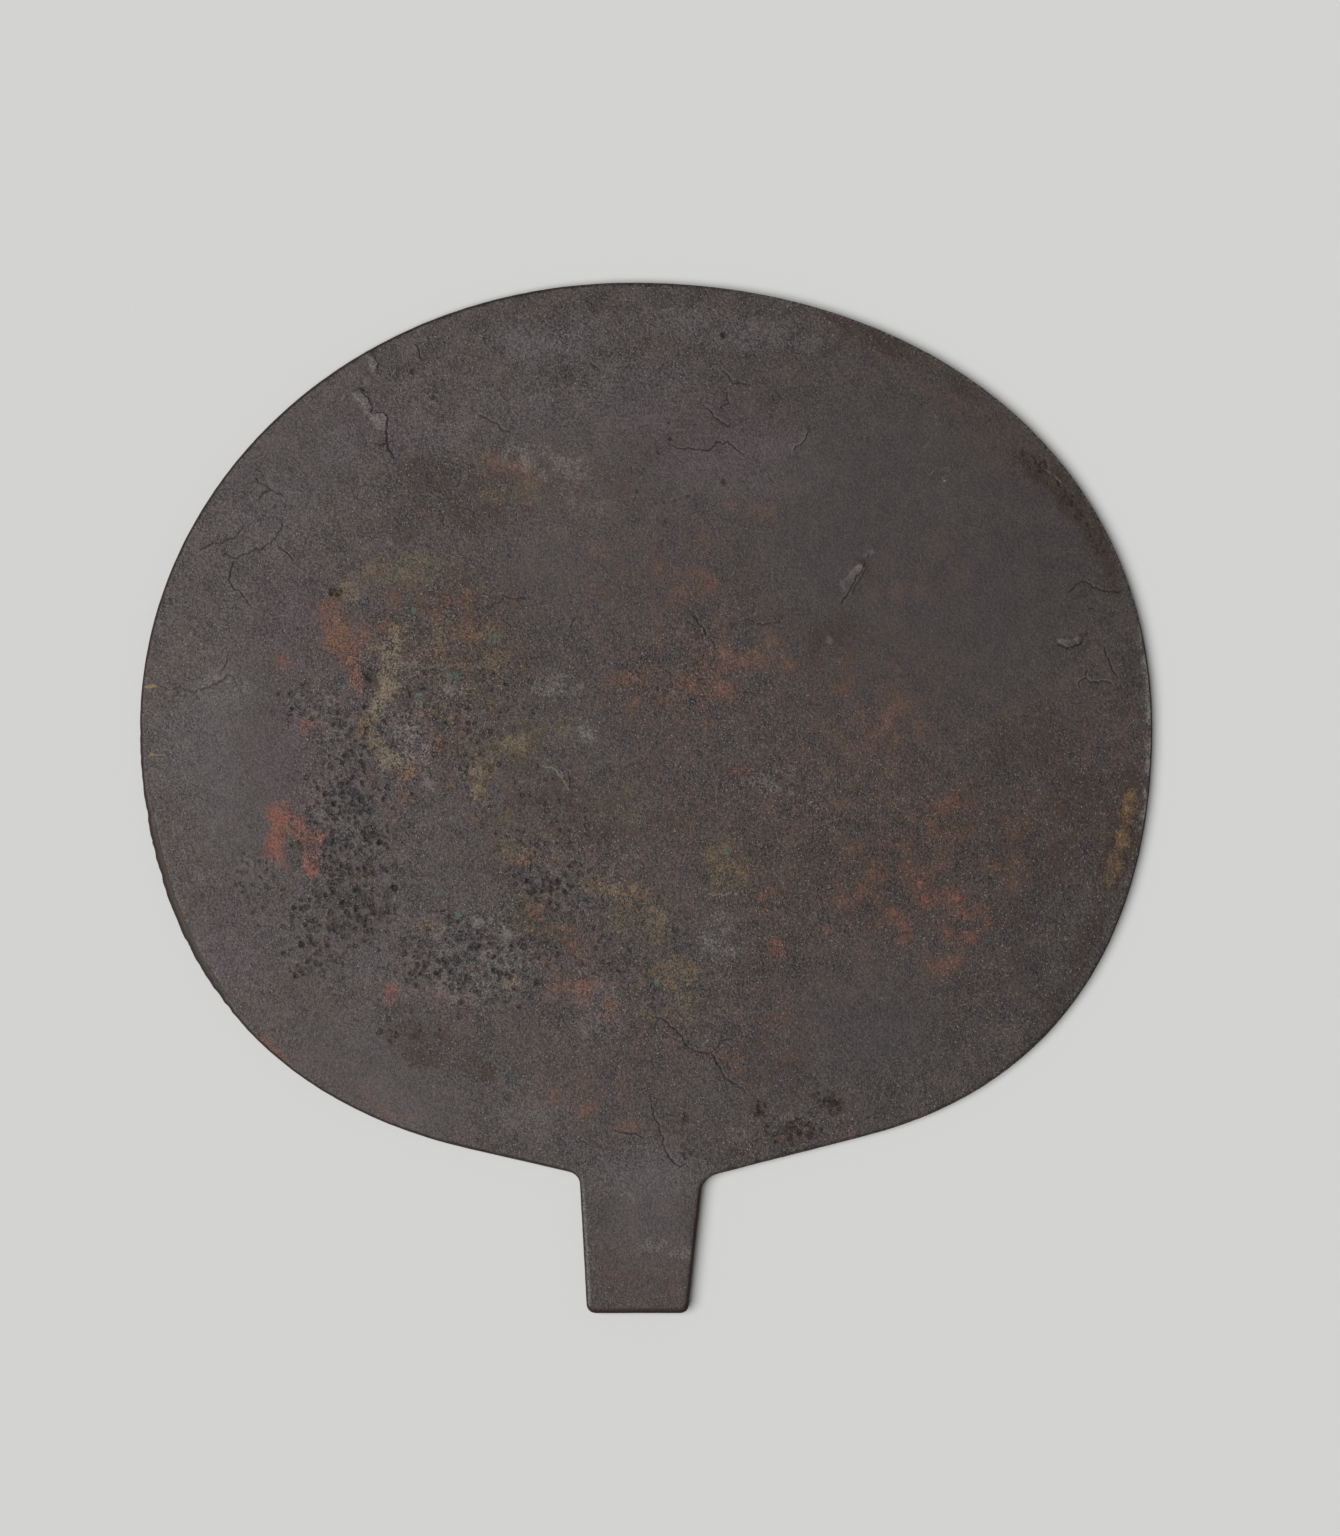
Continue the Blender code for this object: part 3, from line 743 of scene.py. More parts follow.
CRACKS = (
    # Round the flakes at the upper left, ending in a long crack, and in the patina beside them
    Crack(
        (
            (-41.4, 58.2), (-40.4, 58.1), (-39.8, 57.4), (-39.5, 56.6), (-39.1, 55.7),
            (-39.3, 55.1), (-38.5, 55.1), (-37.5, 55.1), (-37.0, 54.6), (-37.0, 53.4),
            (-37.1, 52.4), (-37.1, 51.1), (-36.9, 50.2), (-36.2, 49.0), (-36.0, 48.1),
        ),
        depth=0.17, lip=0.0,
    ),
    Crack(((-38.9, 50.7), (-37.9, 50.5), (-37.1, 50.7))),
    Crack(((-38.8, 63.0), (-38.2, 62.2), (-38.3, 61.1)), lip=0.0),
    Crack(((-33.1, 65.0), (-32.4, 64.0), (-32.0, 62.7)), lip=-0.04),
    Crack(((-24.1, 54.8), (-22.8, 54.4), (-21.2, 53.6), (-19.1, 52.3)), lip=0.05),
    Crack(((-8.2, 62.3), (-7.5, 61.9), (-6.9, 61.4))),
    # The net of cracks at the left, and three towards the middle
    Crack(
        ((-63.9, 35.6), (-63.2, 35.7), (-62.1, 36.4), (-61.0, 36.3), (-60.0, 37.0), (-57.0, 39.4)),
        lip=-0.05, darkness=0.8,
    ),
    Crack(
        (
            (-60.8, 35.4), (-59.4, 34.6), (-58.8, 34.2), (-57.1, 34.9), (-54.9, 35.5), (-53.6, 36.4),
            (-52.7, 37.6), (-52.2, 38.2), (-51.9, 39.0), (-52.0, 40.3),
        ),
        darkness=0.75,
    ),
    Crack(
        (
            (-58.8, 34.2), (-59.1, 33.2), (-59.4, 32.1), (-59.7, 31.2), (-59.3, 30.5),
            (-58.5, 29.8), (-57.3, 28.4), (-56.2, 27.2),
        ),
        lip=-0.04,
    ),
    Crack(((-52.7, 35.9), (-52.1, 35.6), (-51.4, 35.1), (-50.3, 34.1)), lip=-0.05),
    Crack(((-55.9, 42.3), (-55.0, 43.3), (-53.5, 44.1), (-52.9, 43.6), (-51.7, 43.5)), darkness=0.8),
    Crack(((-55.8, 45.9), (-54.9, 44.9), (-53.5, 44.1)), darkness=0.8),
    Crack(
        (
            (-70.6, 16.1), (-68.6, 15.6), (-66.6, 15.9), (-64.6, 15.0), (-63.2, 15.7), (-61.6, 16.3),
            (-59.9, 17.7), (-59.0, 17.4), (-58.3, 16.2),
        ),
        darkness=0.55,
    ),
    Crack(((-60.9, 18.0), (-60.3, 18.6), (-59.9, 19.7), (-59.7, 20.6)), darkness=0.8),
    Crack(((-29.4, 41.3), (-28.9, 40.1), (-28.8, 38.7)), darkness=0.8),
    Crack(((-23.0, 27.2), (-21.5, 27.8), (-20.2, 28.8), (-18.9, 28.5), (-17.0, 28.3)), darkness=0.7),
    Crack(((-10.7, 24.2), (-10.2, 25.5), (-9.6, 26.2)), darkness=0.6),
    # Above the middle
    Crack(
        (
            (3.9, 50.4), (4.8, 50.0), (5.5, 49.9), (6.3, 50.1), (7.7, 49.9), (9.1, 49.6), (9.6, 50.1),
            (10.1, 50.9), (11.8, 51.0), (12.2, 50.5), (12.9, 49.9), (13.5, 49.4), (14.3, 49.2),
        ),
        lip=-0.04,
    ),
    Crack(((10.9, 61.3), (11.7, 60.6), (12.2, 59.9), (12.5, 59.2), (14.7, 59.3)), lip=0.04),
    Crack(((8.5, 56.0), (9.1, 55.5), (9.6, 54.9), (10.3, 54.2), (11.3, 53.5), (12.4, 53.2))),
    Crack(((10.6, 55.6), (11.0, 56.1), (11.9, 56.4)), lip=0.05),
    Crack(((11.8, 58.0), (11.7, 57.2), (11.9, 56.4)), darkness=0.7),
    Crack(((21.2, 49.6), (22.1, 50.5), (22.9, 51.4), (23.6, 52.6)), depth=0.08, lip=0.10, darkness=0.8),
    # Beside the brown stain at the upper right
    Crack(((56.3, 46.9), (57.9, 46.2), (59.2, 44.7)), depth=0.08, lip=0.04, darkness=0.6),
    # The rough blister at the upper right of the middle, and the cracks beside it
    Crack(
        ((31.5, 34.0), (30.9, 32.3), (29.9, 30.9), (29.3, 29.7), (28.5, 28.6), (28.1, 27.6)),
        depth=0.20, lip=-0.06, lip_reach=0.8,
    ),
    Crack(((15.0, 25.6), (16.0, 24.9), (17.5, 24.9), (19.4, 25.4)), lip=0.06, darkness=0.8),
    Crack(((6.6, 26.2), (8.3, 24.3), (9.5, 22.6), (10.0, 21.3)), darkness=0.6),
    # Near the right rim
    Crack(
        (
            (60.1, 29.6), (61.2, 30.0), (62.5, 31.1), (63.6, 30.6), (64.5, 30.1), (65.8, 29.6),
            (66.9, 29.6), (68.1, 29.5), (69.2, 30.1),
        ),
        darkness=0.9,
    ),
    Crack(((63.3, 27.2), (64.2, 27.1)), darkness=0.6),
    Crack(
        ((59.0, 22.1), (59.6, 21.7), (60.4, 21.3), (61.3, 21.6), (62.2, 22.0), (62.7, 22.5)),
        lip=0.0,
    ),
    Crack(
        ((65.8, 21.7), (65.9, 20.5), (66.3, 19.7), (66.6, 18.9), (67.0, 17.9), (67.6, 16.9)),
        lip=-0.03,
    ),
    Crack(
        (
            (62.2, 15.6), (61.9, 16.4), (62.4, 16.9), (63.0, 17.2), (63.8, 16.6), (64.7, 16.5),
            (65.6, 16.7), (66.2, 16.6), (67.0, 16.2),
        ),
        depth=0.2, lip=0.08,
    ),
    Crack(((63.1, 18.5), (63.0, 17.2))),
    # Below the middle, and two faint ones across it
    Crack(
        (
            (0.0, -30.8), (1.6, -31.4), (3.0, -32.0), (4.2, -33.1), (5.3, -34.4), (5.6, -35.2),
            (6.3, -35.8), (7.7, -36.4), (9.4, -36.4), (9.9, -37.1), (10.9, -39.1), (12.0, -40.4),
            (13.9, -41.5), (14.8, -42.4),
        ),
    ),
    Crack(((9.4, -36.4), (10.1, -35.8), (10.7, -34.8), (12.4, -34.4)), darkness=0.7),
    Crack(
        (
            (1.0, -43.3), (1.2, -44.8), (1.8, -46.5), (2.6, -48.6), (2.7, -50.3), (3.5, -51.6),
            (4.8, -52.7), (6.6, -52.8),
        ),
        darkness=0.75,
    ),
    Crack(((-4.6, -47.4), (-3.1, -48.0), (-1.4, -48.0), (0.0, -48.8)), lip=-0.05),
    Crack(((9.0, 6.1), (9.6, 1.8), (9.9, -2.2)), depth=0.05, darkness=0.4),
    Crack(((23.1, -2.6), (27.8, -3.2), (31.8, -3.5)), depth=0.05, darkness=0.4),
    # A nick in the left rim
    Crack(((-70.2, 6.1), (-68.4, 6.1)), depth=0.06, darkness=0.3),
)

STAINS = {
    "red": RED,
    "orange": ORANGE,
    "ochre": OCHRE,
    "tan": TAN,
    "olive": OLIVE,
    "rust": RUST,
    "slate": SLATE,
    "polished": POLISHED,
    "umber": UMBER,
    "russet_ground": RUSSET_GROUND,
    "plum": PLUM,
    "lilac": LILAC,
    "pale_bloom": PALE_BLOOM,
    "smooth": SMOOTH,
    "crusty": CRUSTY,
    "pitted_ground": [Blot(*field[:5], field.density) for field in PIT_FIELDS],
}

SPOTS = {"verdigris": VERDIGRIS, "dust": DUST, "bare_metal": BARE_METAL}


def ease(share):
    """A smooth step from 0 to 1."""
    share = np.clip(share, 0, 1)
    return share * share * (3 - 2 * share)


def mottle(x, y, size, seed):
    """Smooth random values from -1 to 1, in blotches about as wide as the size."""
    count = int(2 * REACH / size) + 4
    grid = np.random.default_rng(seed).uniform(-1, 1, (count, count))
    u = (x + REACH) / size + 1
    v = (y + REACH) / size + 1
    column = np.floor(u).astype(int)
    row = np.floor(v).astype(int)
    along = ease(u - column)
    aside = ease(v - row)
    low = grid[row, column] * (1 - along) + grid[row, column + 1] * along
    high = grid[row + 1, column] * (1 - along) + grid[row + 1, column + 1] * along
    return low * (1 - aside) + high * aside


def cloud(x, y, size, seed, layers=3):
    """Mottling at several scales, each half as wide and half as strong as the one before."""
    total = 0
    for layer in range(layers):
        total = total + mottle(x, y, size / 2**layer, seed + layer) / 2**layer
    return total / 1.6


def blots(x, y, patches):
    """How strongly the patches cover each place. Their edges wander, those of wide patches further."""
    bend_x = LONG_BEND * cloud(x, y, LONG_BEND_SIZE, LONG_BEND_SEEDS[0])
    bend_y = LONG_BEND * cloud(x, y, LONG_BEND_SIZE, LONG_BEND_SEEDS[1])
    x = x + SHORT_BEND * mottle(x, y, SHORT_BEND_SIZE, SHORT_BEND_SEEDS[0])
    y = y + SHORT_BEND * mottle(x, y, SHORT_BEND_SIZE, SHORT_BEND_SEEDS[1])
    cover = np.zeros_like(x)
    for patch in patches:
        turn = math.radians(patch.turn)
        breadth = min(1, min(patch.wide, patch.tall) / SMALL_PATCH)
        bend = breadth**2
        right = x + bend * bend_x - patch.across
        above = y + bend * bend_y - patch.up
        across = right * math.cos(turn) + above * math.sin(turn)
        aside = above * math.cos(turn) - right * math.sin(turn)
        out = np.hypot(across / patch.wide, aside / patch.tall) * (0.6 + 0.4 * breadth)
        cover = np.maximum(cover, patch.strength * ease(1.45 - out))
    return cover


def fine_blots(x, y, patches):
    """How strongly small spots cover each place."""
    cover = np.zeros_like(x)
    for patch in patches:
        turn = math.radians(patch.turn)
        across = (x - patch.across) * math.cos(turn) + (y - patch.up) * math.sin(turn)
        aside = (y - patch.up) * math.cos(turn) - (x - patch.across) * math.sin(turn)
        out = np.hypot(across / patch.wide, aside / patch.tall)
        cover = np.maximum(cover, patch.strength * ease(1.5 - out))
    return cover


def scattered_pits():
    """The fields' pits outside the red patches, and the lone ones: across, up, radius, depth, darkness."""
    rng = np.random.default_rng(RANDOM_SEED)
    pits = []
    for field in PIT_FIELDS:
        turn = math.radians(field.turn)
        for _ in range(field.count):
            out = 0.62 * math.sqrt(-math.log(rng.uniform(0.04, 1)))
            heading = rng.uniform(0, 2 * math.pi)
            along = field.wide * out * math.cos(heading)
            aside = field.tall * out * math.sin(heading)
            radius = field.smallest + (field.largest - field.smallest) * rng.uniform() ** 1.6
            pits.append(
                (
                    field.across + along * math.cos(turn) - aside * math.sin(turn),
                    field.up + along * math.sin(turn) + aside * math.cos(turn),
                    radius,
                    radius * rng.uniform(0.25, 0.42),
                    field.darkness * rng.uniform(0.45, 1),
                )
            )
    across, up = np.array(pits).T[:2]
    in_red = blots(across, up, RED)
    pits = [pit for pit, redness in zip(pits, in_red) if redness < 0.5]
    for pit in LONE_PITS:
        pits.append((pit.across, pit.up, pit.radius, -pit.height, 1))
    return pits


def jagged(route, rng, step=0.24, wander=0.10):
    """A line through the route's points that wanders between them, as a crack does."""
    line = np.array(route, float)
    while np.hypot(*np.diff(line, axis=0).T).max() > step:
        run = np.diff(line, axis=0)
        length = np.hypot(*run.T)
        aside = np.stack([-run[:, 1], run[:, 0]], 1)
        middles = line[:-1] + run / 2 + aside * rng.normal(0, wander, len(run))[:, None]
        split = length > step
        places = [line[0]]
        for k in range(len(run)):
            if split[k]:
                places.append(middles[k])
            places.append(line[k + 1])
        line = np.array(places)
    return line


def measure_from_line(x, y, line):
    """Each place's distance from a line, its side (1 is left) and its share of the way along."""
    lengths = np.hypot(*np.diff(line, axis=0).T)
    starts = np.concatenate([[0], np.cumsum(lengths)])
    distance = np.full(x.shape, np.inf)
    side = np.zeros(x.shape)
    share = np.zeros(x.shape)
    for (ax, ay), (bx, by), start, length in zip(line, line[1:], starts, lengths):
        run_x = bx - ax
        run_y = by - ay
        part = np.clip(((x - ax) * run_x + (y - ay) * run_y) / length**2, 0, 1)
        gap = np.hypot(x - ax - part * run_x, y - ay - part * run_y)
        closer = gap < distance
        distance = np.where(closer, gap, distance)
        side = np.where(closer, np.sign(run_x * (y - ay) - run_y * (x - ax)), side)
        share = np.where(closer, (start + part * length) / starts[-1], share)
    return distance, side, share


def fade_ends(share):
    """1 along a line's middle, falling to 0 at both of its ends."""
    return np.clip(np.sin(math.pi * np.clip(share, 0, 1)) * 4, 0, 1)


def raise_warts(x, y, warped_x, warped_y, height):
    """Lifts the blisters and rings of crust, and returns where they are."""
    raised = np.zeros_like(x)
    for wart in WARTS:
        near = (np.abs(x - wart.across) < wart.radius * 2) & (np.abs(y - wart.up) < wart.radius * 2)
        out = np.hypot(warped_x[near] - wart.across, warped_y[near] - wart.up) / wart.radius
        dome = ease(1.3 - out)
        hollow = wart.hollow * 1.6 * ease(1 - out * 1.5)
        height[near] += wart.height * (dome - hollow)
        raised[near] = np.maximum(raised[near], dome - hollow)
    return raised


def draw_scratches(x, y, warped_x, warped_y):
    """Where the pale scratches are."""
    scratched = np.zeros_like(x)
    for scratch in SCRATCHES:
        line = np.array(scratch.route)
        near = np.hypot(x - line[:, 0].mean(), y - line[:, 1].mean()) < 6
        distance, _, share = measure_from_line(warped_x[near], warped_y[near], line)
        trace = scratch.strength * fade_ends(share) * ease(1.4 - distance / scratch.half_width)
        scratched[near] = np.maximum(scratched[near], trace)
    return scratched


def lift_flakes(x, y, warped_x, warped_y, height):
    """Lifts the flakes, and returns where they are."""
    flaky = np.zeros_like(x)
    for flake in FLAKES:
        edge = np.array([*flake.edge, flake.edge[0]])
        near = (np.abs(x - edge[:, 0].mean()) < 4) & (np.abs(y - edge[:, 1].mean()) < 4)
        distance, side, _ = measure_from_line(warped_x[near], warped_y[near], edge)
        above = ease(0.5 - side * distance / 0.22)
        height[near] += flake.height * above
        flaky[near] = np.maximum(flaky[near], flake.paleness * above)
    return flaky


class Relief:
    """The face's height above its plain crowned form, and where its pits and other wear are."""

    def __init__(self):
        rng = np.random.default_rng(RANDOM_SEED + 1)
        self.pits = scattered_pits()
        self.lines = [jagged(crack.route, rng) for crack in CRACKS]

    def sink_pits(self, x, y, warped_x, warped_y, height):
        """Sinks the pits, and returns where they are."""
        pitted = np.zeros_like(x)
        for across, up, radius, depth, darkness in self.pits:
            near = (np.abs(x - across) < radius * 1.8) & (np.abs(y - up) < radius * 1.8)
            out = np.hypot(warped_x[near] - across, warped_y[near] - up) / radius
            bowl = ease(1.15 - out)
            rim = 0.25 * np.exp(-((out - 1.25) ** 2) / 0.08)
            height[near] += depth * (rim - bowl)
            pitted[near] = np.maximum(pitted[near], darkness * ease(1.5 - out))
        return pitted

    def open_cracks(self, x, y, height):
        """Opens the cracks and lifts their lips, and returns where the cracks are and where the lips carry
        a painted highlight.
        """
        cracked = np.zeros_like(x)
        painted_lip_light = np.zeros_like(x)
        for crack, line in zip(CRACKS, self.lines):
            low = line.min(0) - 4
            high = line.max(0) + 4
            near = (x > low[0]) & (x < high[0]) & (y > low[1]) & (y < high[1])
            distance, side, share = measure_from_line(x[near], y[near], line)
            strength = fade_ends(share)
            groove = np.clip(1 - distance / (CRACK_HALF_WIDTH * 1.15), 0, 1)
            on_lip = (side * crack.lip > 0) | (distance < 0.02)
            fall = np.exp(-np.maximum(0, distance - CRACK_HALF_WIDTH) / crack.lip_reach)
            lip = abs(crack.lip) * np.where(on_lip, fall, 0) * strength
            height[near] += lip - crack.depth * groove * strength
            cracked[near] = np.maximum(cracked[near], crack.darkness * groove * strength)
            # A painted highlight along each lifted lip
            shine = np.where(on_lip, np.exp(-((distance - 0.2) ** 2) / 0.02), 0) * strength
            painted_lip_light[near] = np.maximum(painted_lip_light[near], min(1, abs(crack.lip) * 9) * shine)
        return cracked, painted_lip_light

    def wear(self, x, y):
        """The height in millimetres and the masks of all the wear, and of the painted highlights on the
        crack lips, at the given places.
        """
        warped_x = x + EDGE_WANDER * mottle(x, y, EDGE_WANDER_SIZE, EDGE_SEEDS[0])
        warped_y = y + EDGE_WANDER * mottle(x, y, EDGE_WANDER_SIZE, EDGE_SEEDS[1])
        long_waves = LONG_WAVES * cloud(x, y, LONG_WAVE_SIZE, WAVE_SEEDS[0])
        short_waves = SHORT_WAVES * cloud(x, y, SHORT_WAVE_SIZE, WAVE_SEEDS[1])
        height = long_waves + short_waves
        masks = {
            "pits": self.sink_pits(x, y, warped_x, warped_y, height),
            "raised_crust": raise_warts(x, y, warped_x, warped_y, height),
            "scratches": draw_scratches(x, y, warped_x, warped_y),
            "flakes": lift_flakes(x, y, warped_x, warped_y, height),
        }
        masks["cracks"], masks["lifted_edges"] = self.open_cracks(x, y, height)
        return height, masks

    def places_needing_detail(self):
        """Discs that need a finer mesh, as (across, up, radius, step)."""
        finest = FACE_STEP / 2 ** (FACE_LEVELS - 1)
        discs = [(across, up, radius * 1.5 + 0.1, finest) for across, up, radius, _, _ in self.pits]
        discs += [(wart.across, wart.up, wart.radius * 1.5, finest) for wart in WARTS]
        for patch in VERDIGRIS + BARE_METAL + DUST:
            discs.append((patch.across, patch.up, max(patch.wide, patch.tall) * 1.5, finest))
        for flake in FLAKES:
            discs += [(across, up, 1.0, finest) for across, up in flake.edge]
        for scratch in SCRATCHES:
            route = jagged(scratch.route, np.random.default_rng(0), 0.6, 0.0)
            discs += [(across, up, 0.4, finest) for across, up in route]
        for line in self.lines:
            discs += [(across, up, 0.8, finest) for across, up in line[::3]]
        return discs


def wall_outline(node):
    """The corners of the plate's outline, anticlockwise, from the foot of the solid's upright wall."""
    mesh = node.data
    corners = set()
    for polygon in mesh.polygons:
        if abs(polygon.normal.z) < 0.02:
            for index in polygon.vertices:
                corner = mesh.vertices[index].co
                if corner.z < cad_high.z / 4:
                    corners.add((round(corner.x / MM, 3), round(corner.y / MM, 3)))
    corners = np.array(sorted(corners))
    heading = np.arctan2(corners[:, 1] - DISC_MIDDLE[1], corners[:, 0] - DISC_MIDDLE[0])
    return corners[np.argsort(heading)]


def divide_straights(corners, longest=2.2, piece=0.5):
    """Adds corners along the outline's long straight sides."""
    divided = []
    for start, end in zip(corners, np.roll(corners, -1, axis=0)):
        length = math.dist(start, end)
        count = math.ceil(length / piece) if length > longest else 1
        divided += [start + (end - start) * k / count for k in range(count)]
    return np.array(divided)


def smooth_loop(corners, step):
    """Evenly spaced points on a closed smooth curve through the corners, and how far along they are."""
    corners = divide_straights(corners)
    after = np.roll(corners, -1, axis=0)
    run = after - corners
    length = np.hypot(*run.T)[:, None]
    direction = run / length
    length_before = np.roll(length, 1, axis=0)
    leaning = np.roll(direction, 1, axis=0) * length + direction * length_before
    slope = leaning / (length + length_before)
    slope_after = np.roll(slope, -1, axis=0)
    pieces = []
    for t in np.linspace(0, 1, CURVE_PARTS, endpoint=False):
        pieces.append(
            (2 * t**3 - 3 * t**2 + 1) * corners
            + (t**3 - 2 * t**2 + t) * length * slope
            + (3 * t**2 - 2 * t**3) * after
            + (t**3 - t**2) * length * slope_after
        )
    fine = np.stack(pieces, 1).reshape(-1, 2)
    closed = np.vstack([fine, fine[:1]])
    run_so_far = np.concatenate([[0], np.cumsum(np.hypot(*np.diff(closed, axis=0).T))])
    count = int(run_so_far[-1] / step)
    places = np.linspace(0, run_so_far[-1], count, endpoint=False)
    loop = np.stack([np.interp(places, run_so_far, closed[:, k]) for k in (0, 1)], 1)
    return loop, places


def inward_normals(loop):
    """The direction into the loop at each of its points."""
    run = np.roll(loop, -1, axis=0) - np.roll(loop, 1, axis=0)
    inward = np.stack([-run[:, 1], run[:, 0]], 1)
    return inward / np.hypot(*inward.T)[:, None]


def headings(x, y):
    """Compass of the disc in degrees: 0 at the right, 90 at the top."""
    return np.degrees(np.arctan2(y - DISC_MIDDLE[1], x - DISC_MIDDLE[0])) % 360


def stretch(heading, start, end, fade=4):
    """1 along a stretch of the rim between two headings, and 0 away from it."""
    middle = (start + end) / 2
    off = np.abs((heading - middle + 180) % 360 - 180)
    return ease(((end - start) / 2 - off) / fade + 0.5)


def rim_bites(places, heading):
    """How far the ragged lower left rim is bitten in at each place along the outline."""
    rng = np.random.default_rng(RANDOM_SEED + 2)
    bites = 0.015 * (1 + np.interp(places, places[::3], rng.uniform(-1, 1, len(places[::3]))))
    ragged = stretch(heading, *RAGGED_RIM)
    place = 0
    while place < places[-1]:
        place += rng.uniform(0.6, 2.8)
        width = rng.uniform(0.4, 1.1)
        depth = 0.02 + 0.20 * rng.uniform() ** 2
        bites += ragged * depth * np.clip(1 - ((places - place) / width) ** 2, 0, 1)
    return bites


def lattice(step, level):
    """A triangular lattice over the plate. Each level after the first holds the points in between."""
    step = step / 2**level
    rows = int(REACH / (step * math.sqrt(3) / 2)) + 1
    columns = int(REACH / step) + 1
    row, column = np.mgrid[-rows : rows + 1, -2 * columns : 2 * columns + 1]
    x = (column + row / 2) * step
    y = row * step * math.sqrt(3) / 2
    new = (row % 2 != 0) | (column % 2 != 0) if level else np.ones_like(row, bool)
    keep = new & (np.abs(x) < REACH)
    return np.stack([x[keep], y[keep]], 1)


def detail_map(discs):
    """The mesh step that each cell of the plate needs."""
    count = int(2 * REACH / NEED_CELL)
    need = np.full((count, count), FACE_STEP)
    centres = (np.arange(count) + 0.5) * NEED_CELL - REACH
    for across, up, radius, step in sorted(discs, key=lambda disc: -disc[3]):
        for reach, wanted in ((radius + 3 * step, 2 * step), (radius, step)):
            left, right = np.searchsorted(centres, (across - reach, across + reach))
            low, high = np.searchsorted(centres, (up - reach, up + reach))
            offsets = np.meshgrid(centres[left:right] - across, centres[low:high] - up)
            inside = np.hypot(*offsets) < reach
            block = need[low:high, left:right]
            block[inside] = np.minimum(block[inside], wanted)
    return need


def inside_loop(points, loop, margin):
    """Which points lie inside a closed loop, further than the margin from it."""
    tree = KDTree(len(loop))
    for index, (x, y) in enumerate(loop):
        tree.insert((x, y, 0), index)
    tree.balance()
    inward = inward_normals(loop)
    keep = np.zeros(len(points), bool)
    for index, (x, y) in enumerate(points):
        _, nearest, gap = tree.find((x, y, 0))
        right, above = x - loop[nearest, 0], y - loop[nearest, 1]
        depth = right * inward[nearest, 0] + above * inward[nearest, 1]
        keep[index] = depth > 0 and gap > margin
    return keep


def crack_points(lines, loop):
    """The cracks' own points, their edges, rows of points beside them, and a tree to find them by."""
    rows = []
    edges = []
    count = 0
    for line in lines:
        line = line[inside_loop(line, loop, CRACK_RIM_GAP)]
        if len(line) < 2:
            continue
        edges += [(count + k, count + k + 1) for k in range(len(line) - 1)]
        rows.append(line)
        count += len(line)
    centre_count = count
    for line in list(rows):
        run = np.gradient(line, axis=0)
        aside = np.stack([-run[:, 1], run[:, 0]], 1) / np.hypot(*run.T)[:, None]
        for offset in CRACK_ROWS:
            for side in (-1, 1):
                rows.append(line + aside * offset * side)
    points = np.vstack(rows)
    tree = KDTree(centre_count)
    for index, (x, y) in enumerate(points[:centre_count]):
        tree.insert((x, y, 0), index)
    tree.balance()
    keep = np.ones(len(points), bool)
    for index in range(centre_count, len(points)):
        x, y = points[index]
        keep[index] = tree.find((x, y, 0))[2] > CRACK_HALF_WIDTH * 0.8
    keep[centre_count:] &= inside_loop(points[centre_count:], loop, CRACK_RIM_GAP)
    return points[keep], edges, tree


def face_points(relief, loop):
    """The points of the face's mesh, closer together where it is worn, and the cracks' edges."""
    rows, edges, crack_tree = crack_points(relief.lines, loop)
    need = detail_map(relief.places_needing_detail())
    rng = np.random.default_rng(RANDOM_SEED + 3)
    levels = []
    for level in range(FACE_LEVELS):
        step = FACE_STEP / 2**level
        points = lattice(FACE_STEP, level)
        cell = ((points + REACH) / NEED_CELL).astype(int).clip(0, len(need) - 1)
        points = points[need[cell[:, 1], cell[:, 0]] < step * 1.01] if level else points
        points = points + rng.uniform(-FACE_SHAKE, FACE_SHAKE, points.shape) * step
        points = points[inside_loop(points, loop, min(0.5, step * 0.6))]
        clear = [crack_tree.find((x, y, 0))[2] > CRACK_CLEAR for x, y in points]
        levels.append(points[clear])
    return np.vstack([rows, *levels]), edges


def triangulate(loop, points, edges=()):
    """Triangles that fill the loop through all the points. The loop's own points come first."""
    count = len(loop)
    coordinates = [Vector(place) for place in np.vstack([loop, points])]
    shifted = [(a + count, b + count) for a, b in edges]
    places, _, triangles, origins, _, _ = delaunay_2d_cdt(
        coordinates, shifted, [list(range(count))], 1, 0.00001
    )
    found = {origin: index for index, sources in enumerate(origins) for origin in sources}
    places = np.array([tuple(place) for place in places])
    return places, [list(triangle) for triangle in triangles], [found[k] for k in range(count)]


def crown_heights(node, x, y):
    """The plain solid's face height at each place, felt from just above it."""
    mesh = node.data
    tree = BVHTree.FromPolygons(
        [vertex.co for vertex in mesh.vertices], [tuple(face.vertices) for face in mesh.polygons]
    )
    above = cad_high.z + MM
    felt = [tree.find_nearest(Vector((across * MM, up * MM, above)))[0] for across, up in zip(x, y)]
    return np.array([place.z / MM for place in felt])


class PlateMesh:
    """Gathers the plate's points, faces and masks."""

    def __init__(self):
        self.points = []
        self.masks = []
        self.faces = []
        self.back_faces = []
        self.count = 0

    def add_points(self, x, y, z, **masks):
        """Adds points with their masks, and returns their numbers."""
        start = self.count
        self.points.append(np.stack([x, y, z], 1))
        self.masks.append((len(x), masks))
        self.count += len(x)
        return list(range(start, self.count))

    def join_rings(self, upper, lower):
        """Adds the band of faces between two rings of points."""
        for a, b, c, d in zip(upper, lower, lower[1:] + lower[:1], upper[1:] + upper[:1]):
            self.faces.append((a, b, c, d))

    def mask_values(self, name):
        """A mask at every point, 0 where it wasn't given."""
        return np.concatenate(
            [np.broadcast_to(masks.get(name, 0.0), size) for size, masks in self.masks]
        )

    def mask_names(self):
        return sorted({name for _, masks in self.masks for name in masks})


